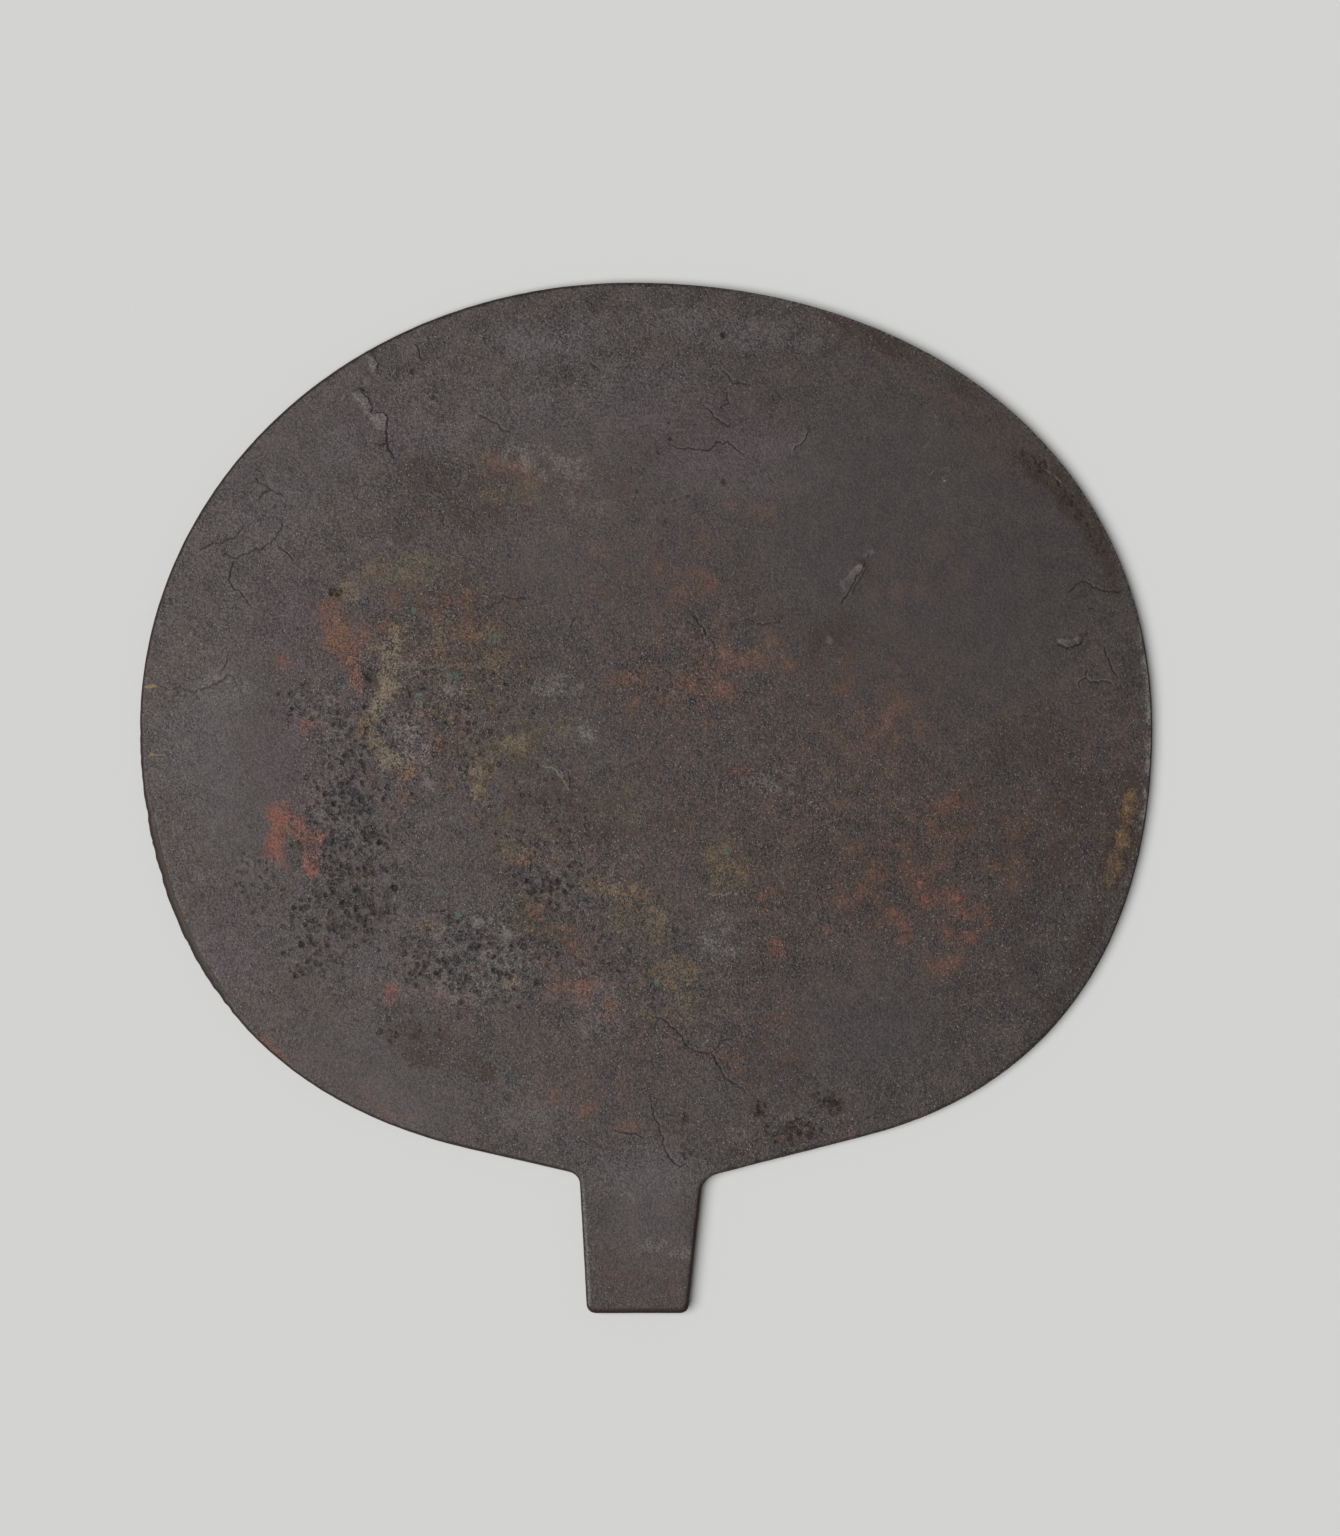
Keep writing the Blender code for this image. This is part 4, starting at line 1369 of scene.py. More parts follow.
def cloud_masks(x, y):
    """The mottling of both sides, near and wide."""
    return {
        "near_clouds": cloud(x, y, NEAR_CLOUD_SIZE, NEAR_CLOUD_SEED, 2),
        "wide_clouds": cloud(x, y, WIDE_CLOUD_SIZE, WIDE_CLOUD_SEED),
    }


def stain_masks(x, y):
    """The patina's mottling, stains and spots, by name."""
    masks = cloud_masks(x, y)
    for name, patches in STAINS.items():
        masks[name] = blots(x, y, patches)
    for name, patches in SPOTS.items():
        masks[name] = fine_blots(x, y, patches)
    return masks


def rim_masks(heading, x, y, inset):
    """Bands of painted shade, and pale bands of wear with painted sheen and highlights, along the rim, for
    points a given way in from the outline.
    """
    on_disc = ease((y - TANG_TOP) / 3)
    on_tang = 1 - on_disc
    lower_left = stretch(heading, *SHADED_BEVEL_RIM) * on_disc
    upper_right = stretch(heading, *UPPER_RIGHT_RIM) * on_disc
    brown_width = BEVEL_SHADE_WIDTH + 0.35 * cloud(x, y, 1.6, BEVEL_SEED, 2)
    # Painted shade on the lower left bevel
    brown = lower_left * ease((brown_width - inset) / 0.25 + 0.5)
    # Painted shade: a dark line along the outline, wider along the left side and narrower at the upper
    # right
    drawn_line = stretch(heading, *SHADE_LINED_RIM) * on_disc
    dark_width = RIM_SHADE_WIDTH + LINED_SHADE_WIDTH * drawn_line - 0.5 * upper_right
    dark_width = dark_width + 0.08 * cloud(x, y, 1.6, RIM_LINE_SEED, 2)
    dark = ease((dark_width - inset) / 0.18 + 0.5)
    # Painted shade down the tang's right side and across its end
    tang_right_shade = on_tang * (x > 2) * ease((TANG_SHADE_WIDTH - inset) / 0.3) * 0.8
    tang_end_shade = 1.5 * on_tang * (y < TANG_END) * ease((TANG_END_SHADE_WIDTH - inset) / 0.3)
    beads = 0.9 + 0.7 * mottle(x, y, 0.9, BEAD_SEED)
    # The right rim's pale beaded band: partly wear, partly painted sheen
    right = stretch(heading, *WORN_SHEEN_RIM) * on_disc
    worn_right_sheen = right * ease(1 - np.abs(inset - WORN_MIDDLE) / WORN_HALF_WIDTH) * beads
    # Painted light along the upper right rim
    painted_light_above = 0.28 * upper_right * ease((0.5 - inset) / 0.3)
    # Painted highlight on the tang's left side
    left_flank = on_tang * (x < -3) * (y > TANG_END - 0.1)
    tang_left_highlight = left_flank * ease(1 - np.abs(inset - TANG_HIGHLIGHT_MIDDLE) / TANG_HIGHLIGHT_HALF_WIDTH) * 0.35
    return {
        "brown_bevel": brown,
        "dark_rim": np.clip(dark + tang_right_shade + tang_end_shade, 0, 1.5),
        "worn_rim": np.clip(worn_right_sheen + tang_left_highlight + painted_light_above, 0, 1),
    }


def rim_profile(heading, on_disc, top):
    """The rim's rings from the face round to the back, as (inset, level) in millimetres."""
    bevel = stretch(heading, *BEVELLED_RIM) * on_disc
    sharp = stretch(heading, *SHARP_RIM) * on_disc
    rounding = ROUND - (ROUND - SHARP_ROUND) * sharp
    width = rounding + BEVEL_EXTRA_WIDTH * bevel
    drop = rounding + BEVEL_EXTRA_DROP * bevel
    profile = [(width + 0.5 * (FACE_INSET - width), top - 0.01)]
    for step in range(ROUND_STEPS, -1, -1):
        turn = math.pi / 2 * step / ROUND_STEPS
        profile.append((width * (1 - math.cos(turn)), top - drop * (1 - math.sin(turn))))
    profile.append((0, BACK_ROUND + 0.5 * (top - drop - BACK_ROUND)))
    for step in range(BACK_ROUND_STEPS):
        turn = math.pi / 2 * step / BACK_ROUND_STEPS
        profile.append((BACK_ROUND * (1 - math.cos(turn)), BACK_ROUND * (1 - math.sin(turn))))
    profile.append((BACK_INSET, 0))
    return profile


def add_face(plate, relief, node, loop):
    """Adds the mirror face, and returns the numbers and heights of the points on its edge."""
    points, edges = face_points(relief, loop)
    flat, triangles, loop_index = triangulate(loop, points, edges)
    x, y = flat.T
    height, masks = relief.wear(x, y)
    height = crown_heights(node, x, y) + height
    rim = rim_masks(headings(x, y), x, y, np.full(len(x), FACE_INSET + 0.6))
    face = plate.add_points(x, y, height, **masks, **stain_masks(x, y), **rim)
    plate.faces += [tuple(face[k] for k in triangle) for triangle in triangles]
    return [face[k] for k in loop_index], height[loop_index]


def add_rim(plate, relief, outline, places, edge, top):
    """Adds the rim below the face's edge, and returns the last ring's numbers and places."""
    inward = inward_normals(outline)
    heading = headings(outline[:, 0], outline[:, 1])
    bites = rim_bites(places, heading)
    for inset, level in rim_profile(heading, outline[:, 1] > TANG_TOP, top):
        inset = np.full(len(outline), inset, float)
        level = np.full(len(outline), level, float)
        pushed = inset + bites * ease(1.4 - inset)
        ring = outline + inward * pushed[:, None]
        x, y = ring.T
        rough = ROUGH_RIM * mottle(x, y, 0.9, ROUGH_RIM_SEED) * ease(1 - inset)
        _, masks = relief.wear(x, y)
        lower = plate.add_points(
            x,
            y,
            np.maximum(0, level + np.where(level > BACK_ROUND, rough, 0)),
            **masks,
            **stain_masks(x, y),
            **rim_masks(heading, x, y, inset),
        )
        plate.join_rings(edge, lower)
        edge = lower
    return edge, ring


def add_back(plate, edge, ring):
    """Adds the flat back inside the last ring."""
    points = lattice(BACK_STEP, 0)
    points = points[inside_loop(points, ring, BACK_STEP * 0.5)]
    flat, triangles, loop_index = triangulate(ring, points)
    x, y = flat.T
    dips = cloud(x, y, 9, HOLLOW_SEEDS[0]) + 0.4 * mottle(x, y, 2.5, HOLLOW_SEEDS[1])
    hollow = BACK_HOLLOWS * np.clip(dips, 0, 1)
    hollow[loop_index] = 0
    back = plate.add_points(x, y, hollow, **cloud_masks(x, y))
    replaced = dict(zip((back[k] for k in loop_index), edge))
    for triangle in triangles:
        plate.back_faces.append(tuple(replaced.get(back[k], back[k]) for k in reversed(triangle)))


def build_plate(node):
    """The whole plate as one closed mesh: face, rim, wall and back."""
    outline, places = smooth_loop(wall_outline(node), OUTLINE_STEP)
    relief = Relief()
    plate = PlateMesh()
    edge, top = add_face(plate, relief, node, outline + inward_normals(outline) * FACE_INSET)
    edge, ring = add_rim(plate, relief, outline, places, edge, top)
    add_back(plate, edge, ring)
    return plate


def make_piece(plate, name, materials):
    """The plate as an object, with its masks as attributes of its points."""
    points = np.vstack(plate.points) * MM
    faces = plate.faces + plate.back_faces
    used = np.zeros(len(points), bool)
    used[np.concatenate([np.array(face) for face in faces])] = True
    renumber = np.cumsum(used) - 1
    mesh = bpy.data.meshes.new(name)
    mesh.from_pydata(points[used].tolist(), [], [renumber[list(face)].tolist() for face in faces])
    for mask in plate.mask_names():
        attribute = mesh.attributes.new(mask, "FLOAT", "POINT")
        attribute.data.foreach_set("value", plate.mask_values(mask)[used].astype(np.float32))
    for material in materials:
        mesh.materials.append(material)
    slots = np.zeros(len(faces), np.int32)
    slots[len(plate.faces) :] = 1
    mesh.polygons.foreach_set("material_index", slots)
    mesh.shade_smooth()
    mesh.update()
    piece = bpy.data.objects.new(name, mesh)
    bpy.context.scene.collection.objects.link(piece)
    return piece


class Nodes:
    """Adds nodes to a material or a group, with each input a value or another node's output."""

    def __init__(self, tree):
        self.tree = tree

    def add(self, kind, inputs=None, **settings):
        node = self.tree.nodes.new(kind)
        for name, value in settings.items():
            setattr(node, name, value)
        for name, value in (inputs or {}).items():
            self.feed(node.inputs[name], value)
        return node

    def feed(self, socket, value):
        if isinstance(value, bpy.types.NodeSocket):
            self.tree.links.new(value, socket)
        else:
            socket.default_value = value

    def math(self, operation, *values, clamp=False):
        inputs = dict(enumerate(values))
        return self.add("ShaderNodeMath", inputs, operation=operation, use_clamp=clamp).outputs[0]

    def product(self, *factors):
        """All the factors multiplied."""
        product = factors[0]
        for factor in factors[1:]:
            product = self.math("MULTIPLY", product, factor)
        return product

    def mix(self, share, under, over, blend="MIX"):
        inputs = {0: share, 6: under, 7: over}
        node = self.add("ShaderNodeMix", inputs, data_type="RGBA", blend_type=blend)
        return node.outputs[2]

    def spread(self, value, low, high, to_low=0.0, to_high=1.0, smooth=True):
        """The value's range from low to high, spread over the range from to_low to to_high."""
        inputs = {
            "Value": value,
            "From Min": low,
            "From Max": high,
            "To Min": to_low,
            "To Max": to_high,
        }
        kind = "SMOOTHSTEP" if smooth else "LINEAR"
        return self.add("ShaderNodeMapRange", inputs, interpolation_type=kind).outputs[0]

    def vector(self, operation, *values):
        return self.add("ShaderNodeVectorMath", dict(enumerate(values)), operation=operation).outputs[0]

    def mask(self, name):
        return self.add("ShaderNodeAttribute", attribute_name=name).outputs["Fac"]

    def grain(self, position, size, shift, detail, roughness):
        """Noise about as coarse as the size. Each shift gives other noise."""
        place = self.vector("ADD", position, (shift, -shift, 0.0))
        inputs = {"Vector": place, "Scale": 1 / size, "Detail": detail, "Roughness": roughness}
        return self.add("ShaderNodeTexNoise", inputs, noise_dimensions="2D").outputs["Fac"]

    def cells(self, position, size):
        """Cells about as wide as the size: three random values each, and the distance to the middle."""
        inputs = {"Vector": position, "Scale": self.math("DIVIDE", 1.0, size)}
        cells = self.add("ShaderNodeTexVoronoi", inputs, voronoi_dimensions="2D").outputs
        shades = self.add("ShaderNodeSeparateColor", {0: cells["Color"]}).outputs
        return shades, cells["Distance"]

    def group(self, tree, inputs):
        node = self.add("ShaderNodeGroup", node_tree=tree)
        for name, value in inputs.items():
            self.feed(node.inputs[name], value)
        return node


def new_group(name, inputs, outputs):
    """An empty node group with named sockets, and its input and output nodes."""
    tree = bpy.data.node_groups.new(name, "ShaderNodeTree")
    for socket, kind in inputs:
        tree.interface.new_socket(socket, in_out="INPUT", socket_type="NodeSocket" + kind)
    for socket, kind in outputs:
        tree.interface.new_socket(socket, in_out="OUTPUT", socket_type="NodeSocket" + kind)
    nodes = Nodes(tree)
    given = nodes.add("NodeGroupInput").outputs
    result = nodes.add("NodeGroupOutput").inputs
    return tree, nodes, given, result


def fleck_group():
    """Grains of crust: three random values for each, and 1 in its middle falling to 0 at its edge."""
    inputs = [("Position", "Vector"), ("Drift", "Vector"), ("Size", "Float"), ("Wander", "Float")]
    outputs = [("First", "Float"), ("Second", "Float"), ("Third", "Float"), ("Middle", "Float")]
    tree, nodes, given, result = new_group("crust_flecks", inputs, outputs)
    moved = nodes.vector("MULTIPLY_ADD", given["Drift"], given["Wander"], given["Position"])
    shades, distance = nodes.cells(moved, given["Size"])
    for name, value in zip(("First", "Second", "Third"), shades):
        nodes.feed(result[name], value)
    nodes.feed(result["Middle"], nodes.spread(distance, 0.15, 0.6, 1.0, 0.0))
    return tree


def stain_group():
    """Lays a stain over what is under it: a patchy tint, and grains that thicken towards its middle."""
    inputs = [
        ("Under", "Color"),
        ("Stain", "Color"),
        ("Cover", "Float"),
        ("Patches", "Float"),
        ("Grain", "Float"),
        ("Tint", "Float"),
        ("Grains", "Float"),
    ]
    tree, nodes, given, result = new_group("stain", inputs, [("Colour", "Color")])
    present = nodes.spread(given["Cover"], 0.0, 0.3)
    swing = nodes.math("MULTIPLY", nodes.math("SUBTRACT", given["Patches"], 0.5), present)
    cover = nodes.math("MAXIMUM", nodes.math("MULTIPLY_ADD", swing, 2.8, given["Cover"]), 0.0)
    ahead = nodes.math("SUBTRACT", nodes.math("MULTIPLY", cover, 1.1), given["Grain"])
    grains = nodes.math("MULTIPLY_ADD", ahead, 4.0, 0.3, clamp=True)
    grains = nodes.math("MULTIPLY", grains, given["Grains"])
    share = nodes.math("MULTIPLY_ADD", cover, given["Tint"], grains, clamp=True)
    share = nodes.math("MULTIPLY", share, present)
    nodes.feed(result["Colour"], nodes.mix(share, given["Under"], given["Stain"]))
    return tree


def mottle_group():
    """The patina's light and dark mottling, as a factor around 1, and its height for the bump."""
    inputs = [
        ("Grain", "Float"),
        ("Fine", "Float"),
        ("Middle", "Float"),
        ("Wide", "Float"),
        ("Contrast", "Float"),
    ]
    outputs = [("Tone", "Float"), ("Height", "Float")]
    tree, nodes, given, result = new_group("patina_mottle", inputs, outputs)
    swing = nodes.math("MULTIPLY", nodes.math("SUBTRACT", given["Grain"], 0.5), 1.25)
    for layer, weight in (("Fine", 0.3), ("Middle", 1.2)):
        swing = nodes.math("MULTIPLY_ADD", nodes.math("SUBTRACT", given[layer], 0.5), weight, swing)
    swing = nodes.math("MULTIPLY_ADD", given["Wide"], 0.16, swing)
    tone = nodes.math("MULTIPLY_ADD", swing, given["Contrast"], 1.0)
    nodes.feed(result["Tone"], nodes.math("MAXIMUM", tone, 0.12))
    height = nodes.math("MULTIPLY", given["Middle"], 0.7)
    height = nodes.math("MULTIPLY_ADD", given["Fine"], 0.9, height)
    nodes.feed(result["Height"], height)
    return tree


def pitting_group():
    """Fine ragged pits, more of them where the cover is higher, and the paler crust between them."""
    inputs = [("Position", "Vector"), ("Drift", "Vector"), ("Size", "Float"), ("Cover", "Float")]
    outputs = [("Pit", "Float"), ("Crust", "Float")]
    tree, nodes, given, result = new_group("fine_pitting", inputs, outputs)
    moved = nodes.vector("MULTIPLY_ADD", given["Drift"], (0.7, 0.7, 0.7), given["Position"])
    shades, distance = nodes.cells(moved, given["Size"])
    edge = nodes.math("MULTIPLY_ADD", shades[1], 0.25, 0.17)
    inside = nodes.math("SUBTRACT", edge, distance)
    bowl = nodes.spread(inside, -0.03, 0.09)
    chosen = nodes.spread(nodes.math("SUBTRACT", given["Cover"], shades[0]), -0.05, 0.05)
    chosen = nodes.math("MULTIPLY", chosen, nodes.math("MULTIPLY_ADD", shades[2], 0.7, 0.3))
    nodes.feed(result["Pit"], nodes.math("MULTIPLY", bowl, chosen))
    between = nodes.spread(inside, -0.10, -0.32)
    nodes.feed(result["Crust"], nodes.math("MULTIPLY", between, given["Cover"]))
    return tree


# Patina colours, linear, and colours of painted sheen, glints and shade
# Paler grey ground of the left side, partly painted sheen of the light from the left
GREY_GROUND_AND_SHEEN = (0.076, 0.061, 0.060, 1)
DARK_GROUND = (0.045, 0.0355, 0.0335, 1)
LILAC_BLOOM = (0.088, 0.074, 0.075, 1)
RUSSET_GROUND_TINT = (0.060, 0.037, 0.028, 1)
RED_OXIDE = (0.165, 0.056, 0.036, 1)
ORANGE_OXIDE = (0.136, 0.056, 0.028, 1)
RUST_GRAIN = (0.104, 0.050, 0.034, 1)
SLATE_CRUST = (0.050, 0.042, 0.042, 1)
BROWN_GROUND = (0.060, 0.046, 0.039, 1)
OCHRE_CRUST = (0.116, 0.076, 0.035, 1)
OLIVE_CRUST = (0.090, 0.070, 0.034, 1)
TAN_CRUST = (0.132, 0.104, 0.072, 1)
UMBER_CRUST = (0.032, 0.020, 0.015, 1)
PLUM_TINT = (0.072, 0.046, 0.052, 1)
PALE_DUST = (0.142, 0.126, 0.118, 1)
FLAKE_GREY = (0.112, 0.096, 0.096, 1)
# Painted glints on single grains
GLINT_PALE = (0.260, 0.235, 0.205, 1)
GREEN_SALT = (0.060, 0.140, 0.085, 1)
SCRATCH_PALE = (0.180, 0.180, 0.120, 1)
DUST_WHITE = (0.450, 0.430, 0.380, 1)
BLACK_CRUST = (0.012, 0.010, 0.010, 1)
CRACK_DARK = (0.006, 0.005, 0.005, 1)
# Painted shade, in brown, on the lower left bevel
BEVEL_SHADE_BROWN = (0.038, 0.026, 0.019, 1)
# Painted shade along the outline and on the tang
RIM_SHADE_BROWN = (0.026, 0.013, 0.010, 1)
# Pale rim colour: wear, painted sheen and painted highlights
RIM_WEAR_AND_HIGHLIGHT = (0.220, 0.205, 0.190, 1)
YELLOW_METAL = (0.420, 0.300, 0.090, 1)


def millimetres(nodes):
    """Places on the plate in millimetres, laid out flat, with the wall folded outwards at a slant."""
    place = nodes.add("ShaderNodeTexCoord").outputs["Object"]
    inputs = {0: place, "Scale": 1 / MM}
    scaled = nodes.add("ShaderNodeVectorMath", inputs, operation="SCALE").outputs[0]
    height = nodes.add("ShaderNodeSeparateXYZ", {0: scaled}).outputs[2]
    return nodes.vector("MULTIPLY_ADD", height, WALL_SLANT, scaled)


def wander(nodes, position):
    """A vector that drifts from place to place, for bending the grain's cells out of shape."""
    inputs = {"Vector": position, "Scale": 1.3, "Detail": 1.5, "Roughness": 0.6}
    drift = nodes.add("ShaderNodeTexNoise", inputs, noise_dimensions="2D").outputs["Color"]
    return nodes.vector("SUBTRACT", drift, (0.5, 0.5, 0.5))


def new_material(name):
    """A material, its node builder and its shader."""
    material = bpy.data.materials.new(name)
    material.use_nodes = True
    nodes = Nodes(material.node_tree)
    shader = material.node_tree.nodes["Principled BSDF"]
    return material, nodes, shader


class PatinaGroups(NamedTuple):
    """The effects that the patinas are made of."""

    flecks: bpy.types.NodeTree
    stain: bpy.types.NodeTree
    mottle: bpy.types.NodeTree
    pitting: bpy.types.NodeTree


def flecks(nodes, groups, position, drift, size, wander):
    """Grains of crust about as wide as the size."""
    inputs = {"Position": position, "Drift": drift, "Size": size, "Wander": wander}
    return nodes.group(groups.flecks, inputs).outputs


def lay_stain(nodes, groups, under, cover, stain, patches, grain, tint, grains):
    """What is under a stain, with the stain laid over it. The cover is a value or a mask's name."""
    inputs = {
        "Under": under,
        "Stain": stain,
        "Cover": nodes.mask(cover) if isinstance(cover, str) else cover,
        "Patches": patches,
        "Grain": grain,
        "Tint": tint,
        "Grains": grains,
    }
    return nodes.group(groups.stain, inputs).outputs["Colour"]


def finish_patina(nodes, shader, colour, roughness, strength, height):
    """Gives the shader its colour, its gloss and its bump."""
    nodes.feed(shader.inputs["Base Color"], colour)
    nodes.feed(shader.inputs["Roughness"], roughness)
    shader.inputs["Metallic"].default_value = METALLIC
    shader.inputs["Specular IOR Level"].default_value = SPECULAR
    inputs = {"Strength": strength, "Distance": BUMP_HEIGHT, "Height": height}
    bump = nodes.add("ShaderNodeBump", inputs)
    nodes.feed(shader.inputs["Normal"], bump.outputs["Normal"])


def face_material(groups):
    """The mirror face and the rim."""
    material, nodes, shader = new_material("mirror_face_patina")
    position = millimetres(nodes)
    drift = wander(nodes, position)
    small = flecks(nodes, groups, position, drift, SMALL_GRAIN, 0.3)
    large = flecks(nodes, groups, position, drift, LARGE_GRAIN, 1.4)
    fine = nodes.grain(position, 0.45, 11.0, 1.0, 0.7)
    middle = nodes.grain(position, 3.4, 23.0, 2.5, 0.5)
    near = nodes.mask("near_clouds")
    wide = nodes.mask("wide_clouds")
    smooth = nodes.mask("smooth")
    crusty = nodes.mask("crusty")
    other_middle = nodes.grain(position, 2.2, 57.0, 3.0, 0.65)
    patches = nodes.math("MULTIPLY_ADD", near, 0.20, middle)
    other_patches = nodes.math("MULTIPLY_ADD", near, -0.20, other_middle)
    soft_patches = nodes.math("MULTIPLY_ADD", near, 0.08, 0.5)
    contrast = nodes.math("MULTIPLY_ADD", crusty, 0.5, nodes.math("MULTIPLY_ADD", smooth, -0.55, 0.92))
    islands = nodes.grain(position, 2.4, 91.0, 3.0, 0.7)
    warm_islands = nodes.math("MULTIPLY", nodes.spread(islands, 0.58, 0.68), crusty)
    grey_islands = nodes.math("MULTIPLY", nodes.spread(islands, 0.42, 0.32), crusty)
    layers = {
        "Grain": small["First"],
        "Fine": fine,
        "Middle": middle,
        "Wide": wide,
        "Contrast": contrast,
    }
    mottled = nodes.group(groups.mottle, layers).outputs

    # The ground, greyer and paler at the left, partly painted sheen of the light from the left, and
    # browner in patches
    across = nodes.add("ShaderNodeSeparateXYZ", {0: position}).outputs[0]
    wandering = nodes.math("MULTIPLY_ADD", wide, 9.0, across)
    colour = nodes.mix(nodes.spread(wandering, -85.0, 50.0, smooth=False), GREY_GROUND_AND_SHEEN, DARK_GROUND)

    brownness = nodes.math("MULTIPLY_ADD", smooth, -0.5, 0.75)
    brownness = nodes.math("MULTIPLY", nodes.spread(other_patches, 0.42, 0.68), brownness)
    colour = nodes.mix(brownness, colour, BROWN_GROUND)

    # Each stain's cover, colour, patches and grain, and the strengths of its tint and of its grains
    stains = (
        ("russet_ground", RUSSET_GROUND_TINT, patches, small["Second"], 0.50, 0.12),
        ("slate", SLATE_CRUST, soft_patches, small["Third"], 0.60, 0.10),
        ("lilac", LILAC_BLOOM, soft_patches, small["Third"], 0.65, 0.05),
        ("plum", PLUM_TINT, soft_patches, small["Third"], 0.60, 0.05),
        ("umber", UMBER_CRUST, patches, large["First"], 0.50, 0.22),
        ("olive", OLIVE_CRUST, other_patches, small["Third"], 0.38, 0.12),
        ("rust", RUST_GRAIN, patches, small["First"], 0.32, 0.16),
        ("ochre", OCHRE_CRUST, other_patches, small["Second"], 0.36, 0.18),
        ("tan", TAN_CRUST, other_patches, small["Second"], 0.50, 0.20),
        ("orange", ORANGE_OXIDE, other_patches, large["Second"], 0.36, 0.16),
        ("red", RED_OXIDE, patches, large["Third"], 0.42, 0.16),
        (warm_islands, ORANGE_OXIDE, patches, small["Second"], 0.14, 0.14),
        (grey_islands, PALE_DUST, patches, small["Third"], 0.10, 0.16),
        ("pale_bloom", PALE_DUST, other_patches, small["Third"], 0.08, 0.50),
        ("flakes", FLAKE_GREY, patches, small["Third"], 0.60, 0.10),
    )
    for stain in stains:
        colour = lay_stain(nodes, groups, colour, *stain)

    # Polishing streaks, which run from left to right, and the mottling
    drawn_out = nodes.vector("MULTIPLY", position, (0.13, 1.0, 1.0))
    streaks = nodes.math("SUBTRACT", nodes.grain(drawn_out, 0.42, 5.0, 3.0, 0.7), 0.5)
    streaks = nodes.math("MULTIPLY", streaks, nodes.mask("polished"))
    tone = nodes.math("MULTIPLY_ADD", streaks, 0.9, mottled["Tone"])
    colour = nodes.mix(1.0, colour, tone, "MULTIPLY")

    # Painted glints on single bright grains, and single dark grains
    rough = nodes.math("MULTIPLY_ADD", crusty, 0.5, nodes.math("MULTIPLY_ADD", smooth, -0.8, 0.8))
    bright = nodes.product(nodes.spread(small["Third"], 0.955, 0.975), small["Middle"], rough)
    colour = nodes.mix(bright, colour, GLINT_PALE)
    darker = nodes.math("MULTIPLY_ADD", crusty, 0.10, large["First"])
    dark = nodes.product(nodes.spread(darker, 0.88, 0.93), large["Middle"], rough, 0.6)
    colour = nodes.mix(dark, colour, BLACK_CRUST)

    # Fine pits in the pit fields, apart from the red patches
    spared = nodes.math("MULTIPLY_ADD", nodes.mask("red"), -1.2, 1.0, clamp=True)
    cover = nodes.math("MULTIPLY", nodes.mask("pitted_ground"), spared)
    inputs = {"Position": position, "Drift": drift, "Size": FINE_PIT_SIZE, "Cover": cover}
    pitting = nodes.group(groups.pitting, inputs).outputs
    colour = nodes.mix(nodes.math("MULTIPLY", cover, 0.10), colour, BLACK_CRUST)
    colour = nodes.mix(nodes.math("MULTIPLY", pitting["Crust"], 0.28), colour, PALE_DUST)
    colour = nodes.mix(nodes.math("MULTIPLY", pitting["Pit"], 0.56), colour, BLACK_CRUST)

    # Wear and dirt, and the rim's painted shade and highlights and the crack lips' painted highlights,
    # laid on in the same way but without patches
    even = 0.5
    overlays = (
        ("raised_crust", PALE_DUST, even, small["Second"], 0.2, 0.2),
        ("pits", BLACK_CRUST, even, small["First"], 0.42, 0.25),
        ("verdigris", GREEN_SALT, even, small["Second"], 0.2, 0.5),
        ("scratches", SCRATCH_PALE, even, small["Third"], 0.45, 0.3),
        ("dust", DUST_WHITE, even, small["Third"], 0.7, 0.2),
        ("bare_metal", YELLOW_METAL, even, small["Second"], 0.5, 0.3),
        # Painted shade on the lower left bevel
        ("brown_bevel", BEVEL_SHADE_BROWN, even, small["First"], 0.7, 0.2),
        # Painted shade along the rim and the tang
        ("dark_rim", RIM_SHADE_BROWN, even, small["First"], 0.6, 0.25),
        # Wear with painted sheen and highlights on the rim
        ("worn_rim", RIM_WEAR_AND_HIGHLIGHT, even, small["Third"], 0.3, 0.5),
        # Painted highlight along the crack lips
        ("lifted_edges", PALE_DUST, even, small["Second"], 0.3, 0.2),
        ("cracks", CRACK_DARK, even, small["Third"], 0.8, 0.1),
    )
    for overlay in overlays:
        colour = lay_stain(nodes, groups, colour, *overlay)

    matt = nodes.math("MULTIPLY_ADD", middle, 0.20, 0.40)
    matt = nodes.math("MULTIPLY_ADD", nodes.mask("pits"), 0.25, matt, clamp=True)
    grains = nodes.math("MULTIPLY", small["Middle"], small["Third"])
    height = nodes.math("MULTIPLY_ADD", grains, 0.25, mottled["Height"])
    height = nodes.math("MULTIPLY_ADD", pitting["Pit"], -2.2, height)
    strength = nodes.math("MULTIPLY_ADD", smooth, -0.5, 0.8)
    finish_patina(nodes, shader, colour, matt, strength, height)
    return material


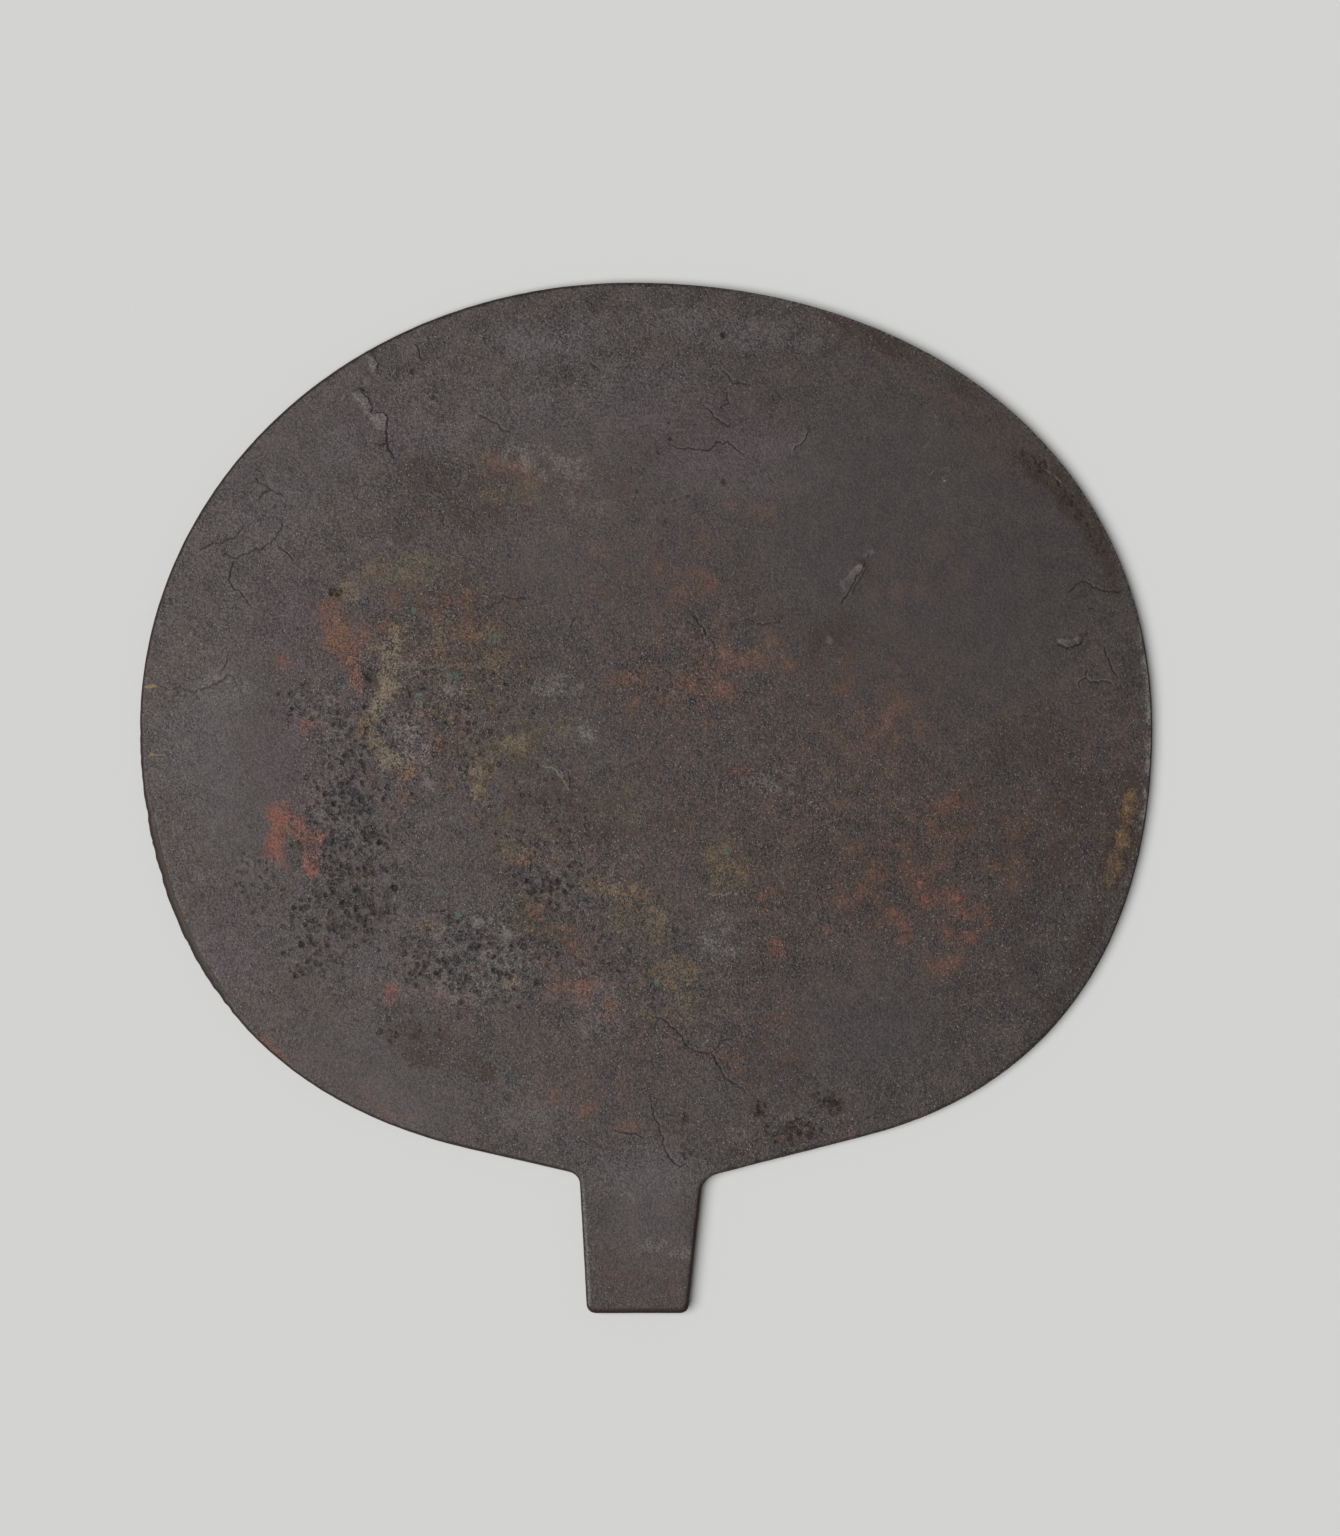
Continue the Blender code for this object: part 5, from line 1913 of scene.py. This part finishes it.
def back_material(groups):
    """The hidden back: the same patina, plainer."""
    material, nodes, shader = new_material("mirror_back_patina")
    position = millimetres(nodes)
    drift = wander(nodes, position)
    grains = flecks(nodes, groups, position, drift, BACK_GRAIN, 1.0)
    fine = nodes.grain(position, 0.8, 11.0, 2.0, 0.7)
    middle = nodes.grain(position, 3.0, 23.0, 3.0, 0.65)
    layers = {
        "Grain": grains["First"],
        "Fine": fine,
        "Middle": middle,
        "Wide": nodes.mask("wide_clouds"),
        "Contrast": 0.7,
    }
    mottled = nodes.group(groups.mottle, layers).outputs
    cover = nodes.spread(nodes.mask("near_clouds"), -0.6, 0.8)
    russet = (cover, RUSSET_GROUND_TINT, middle, grains["Second"], 0.5, 0.4)
    colour = lay_stain(nodes, groups, DARK_GROUND, *russet)
    colour = nodes.mix(1.0, colour, mottled["Tone"], "MULTIPLY")
    matt = nodes.math("MULTIPLY_ADD", middle, 0.2, 0.45)
    finish_patina(nodes, shader, colour, matt, 0.7, mottled["Height"])
    return material


def make_floor():
    """A plain pale surface that the disc lies on."""
    mesh = bpy.data.meshes.new("pale_floor")
    half = FLOOR_SIZE / 2
    places = ((-half, -half), (half, -half), (half, half), (-half, half))
    mesh.from_pydata([(x, y, -FLOOR_GAP) for x, y in places], [], [(0, 1, 2, 3)])
    material, _, shader = new_material("pale_ground")
    shader.inputs["Base Color"].default_value = FLOOR_COLOUR
    shader.inputs["Roughness"].default_value = FLOOR_ROUGHNESS
    shader.inputs["Specular IOR Level"].default_value = 0
    mesh.materials.append(material)
    floor = bpy.data.objects.new("pale_floor", mesh)
    bpy.context.scene.collection.objects.link(floor)


def make_light():
    """A wide soft light from high up on the left, a faint sky and a backdrop as pale as the floor."""
    lamp = bpy.data.lights.new("window_light", "SUN")
    lamp.energy = LIGHT_STRENGTH
    lamp.angle = LIGHT_SPREAD
    light = bpy.data.objects.new("window_light", lamp)
    towards = Vector(
        (
            math.cos(LIGHT_RISE) * math.cos(LIGHT_HEADING),
            math.cos(LIGHT_RISE) * math.sin(LIGHT_HEADING),
            math.sin(LIGHT_RISE),
        )
    )
    light.rotation_euler = towards.to_track_quat("Z", "Y").to_euler()
    bpy.context.scene.collection.objects.link(light)
    world = bpy.data.worlds.new("studio")
    world.use_nodes = True
    nodes = Nodes(world.node_tree)
    seen_directly = nodes.add("ShaderNodeLightPath").outputs["Is Camera Ray"]
    shown = nodes.mix(seen_directly, SKY, BACKDROP)
    nodes.feed(world.node_tree.nodes["Background"].inputs["Color"], shown)
    bpy.context.scene.world = world
    bpy.context.scene.view_settings.view_transform = "Standard"


def make_camera():
    """Straight above, as the photograph was taken."""
    lens = bpy.data.cameras.new("camera")
    lens.lens = LENS / MM
    lens.sensor_fit = "VERTICAL"
    lens.sensor_height = SENSOR / MM
    camera = bpy.data.objects.new("camera", lens)
    distance = PICTURE_HEIGHT * LENS / SENSOR
    camera.location = Vector((*PICTURE_MIDDLE, RIM_LEVEL + distance)) * MM
    bpy.context.scene.collection.objects.link(camera)
    bpy.context.scene.camera = camera


def make_disc():
    """The dressed plate, which takes the place of the plain solid."""
    groups = PatinaGroups(fleck_group(), stain_group(), mottle_group(), pitting_group())
    materials = [face_material(groups), back_material(groups)]
    piece = make_piece(build_plate(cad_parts[NODE]), "patinated_mirror_disc", materials)
    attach(piece, "root")
    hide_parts(NODE)


make_camera()
make_light()
make_floor()
make_disc()
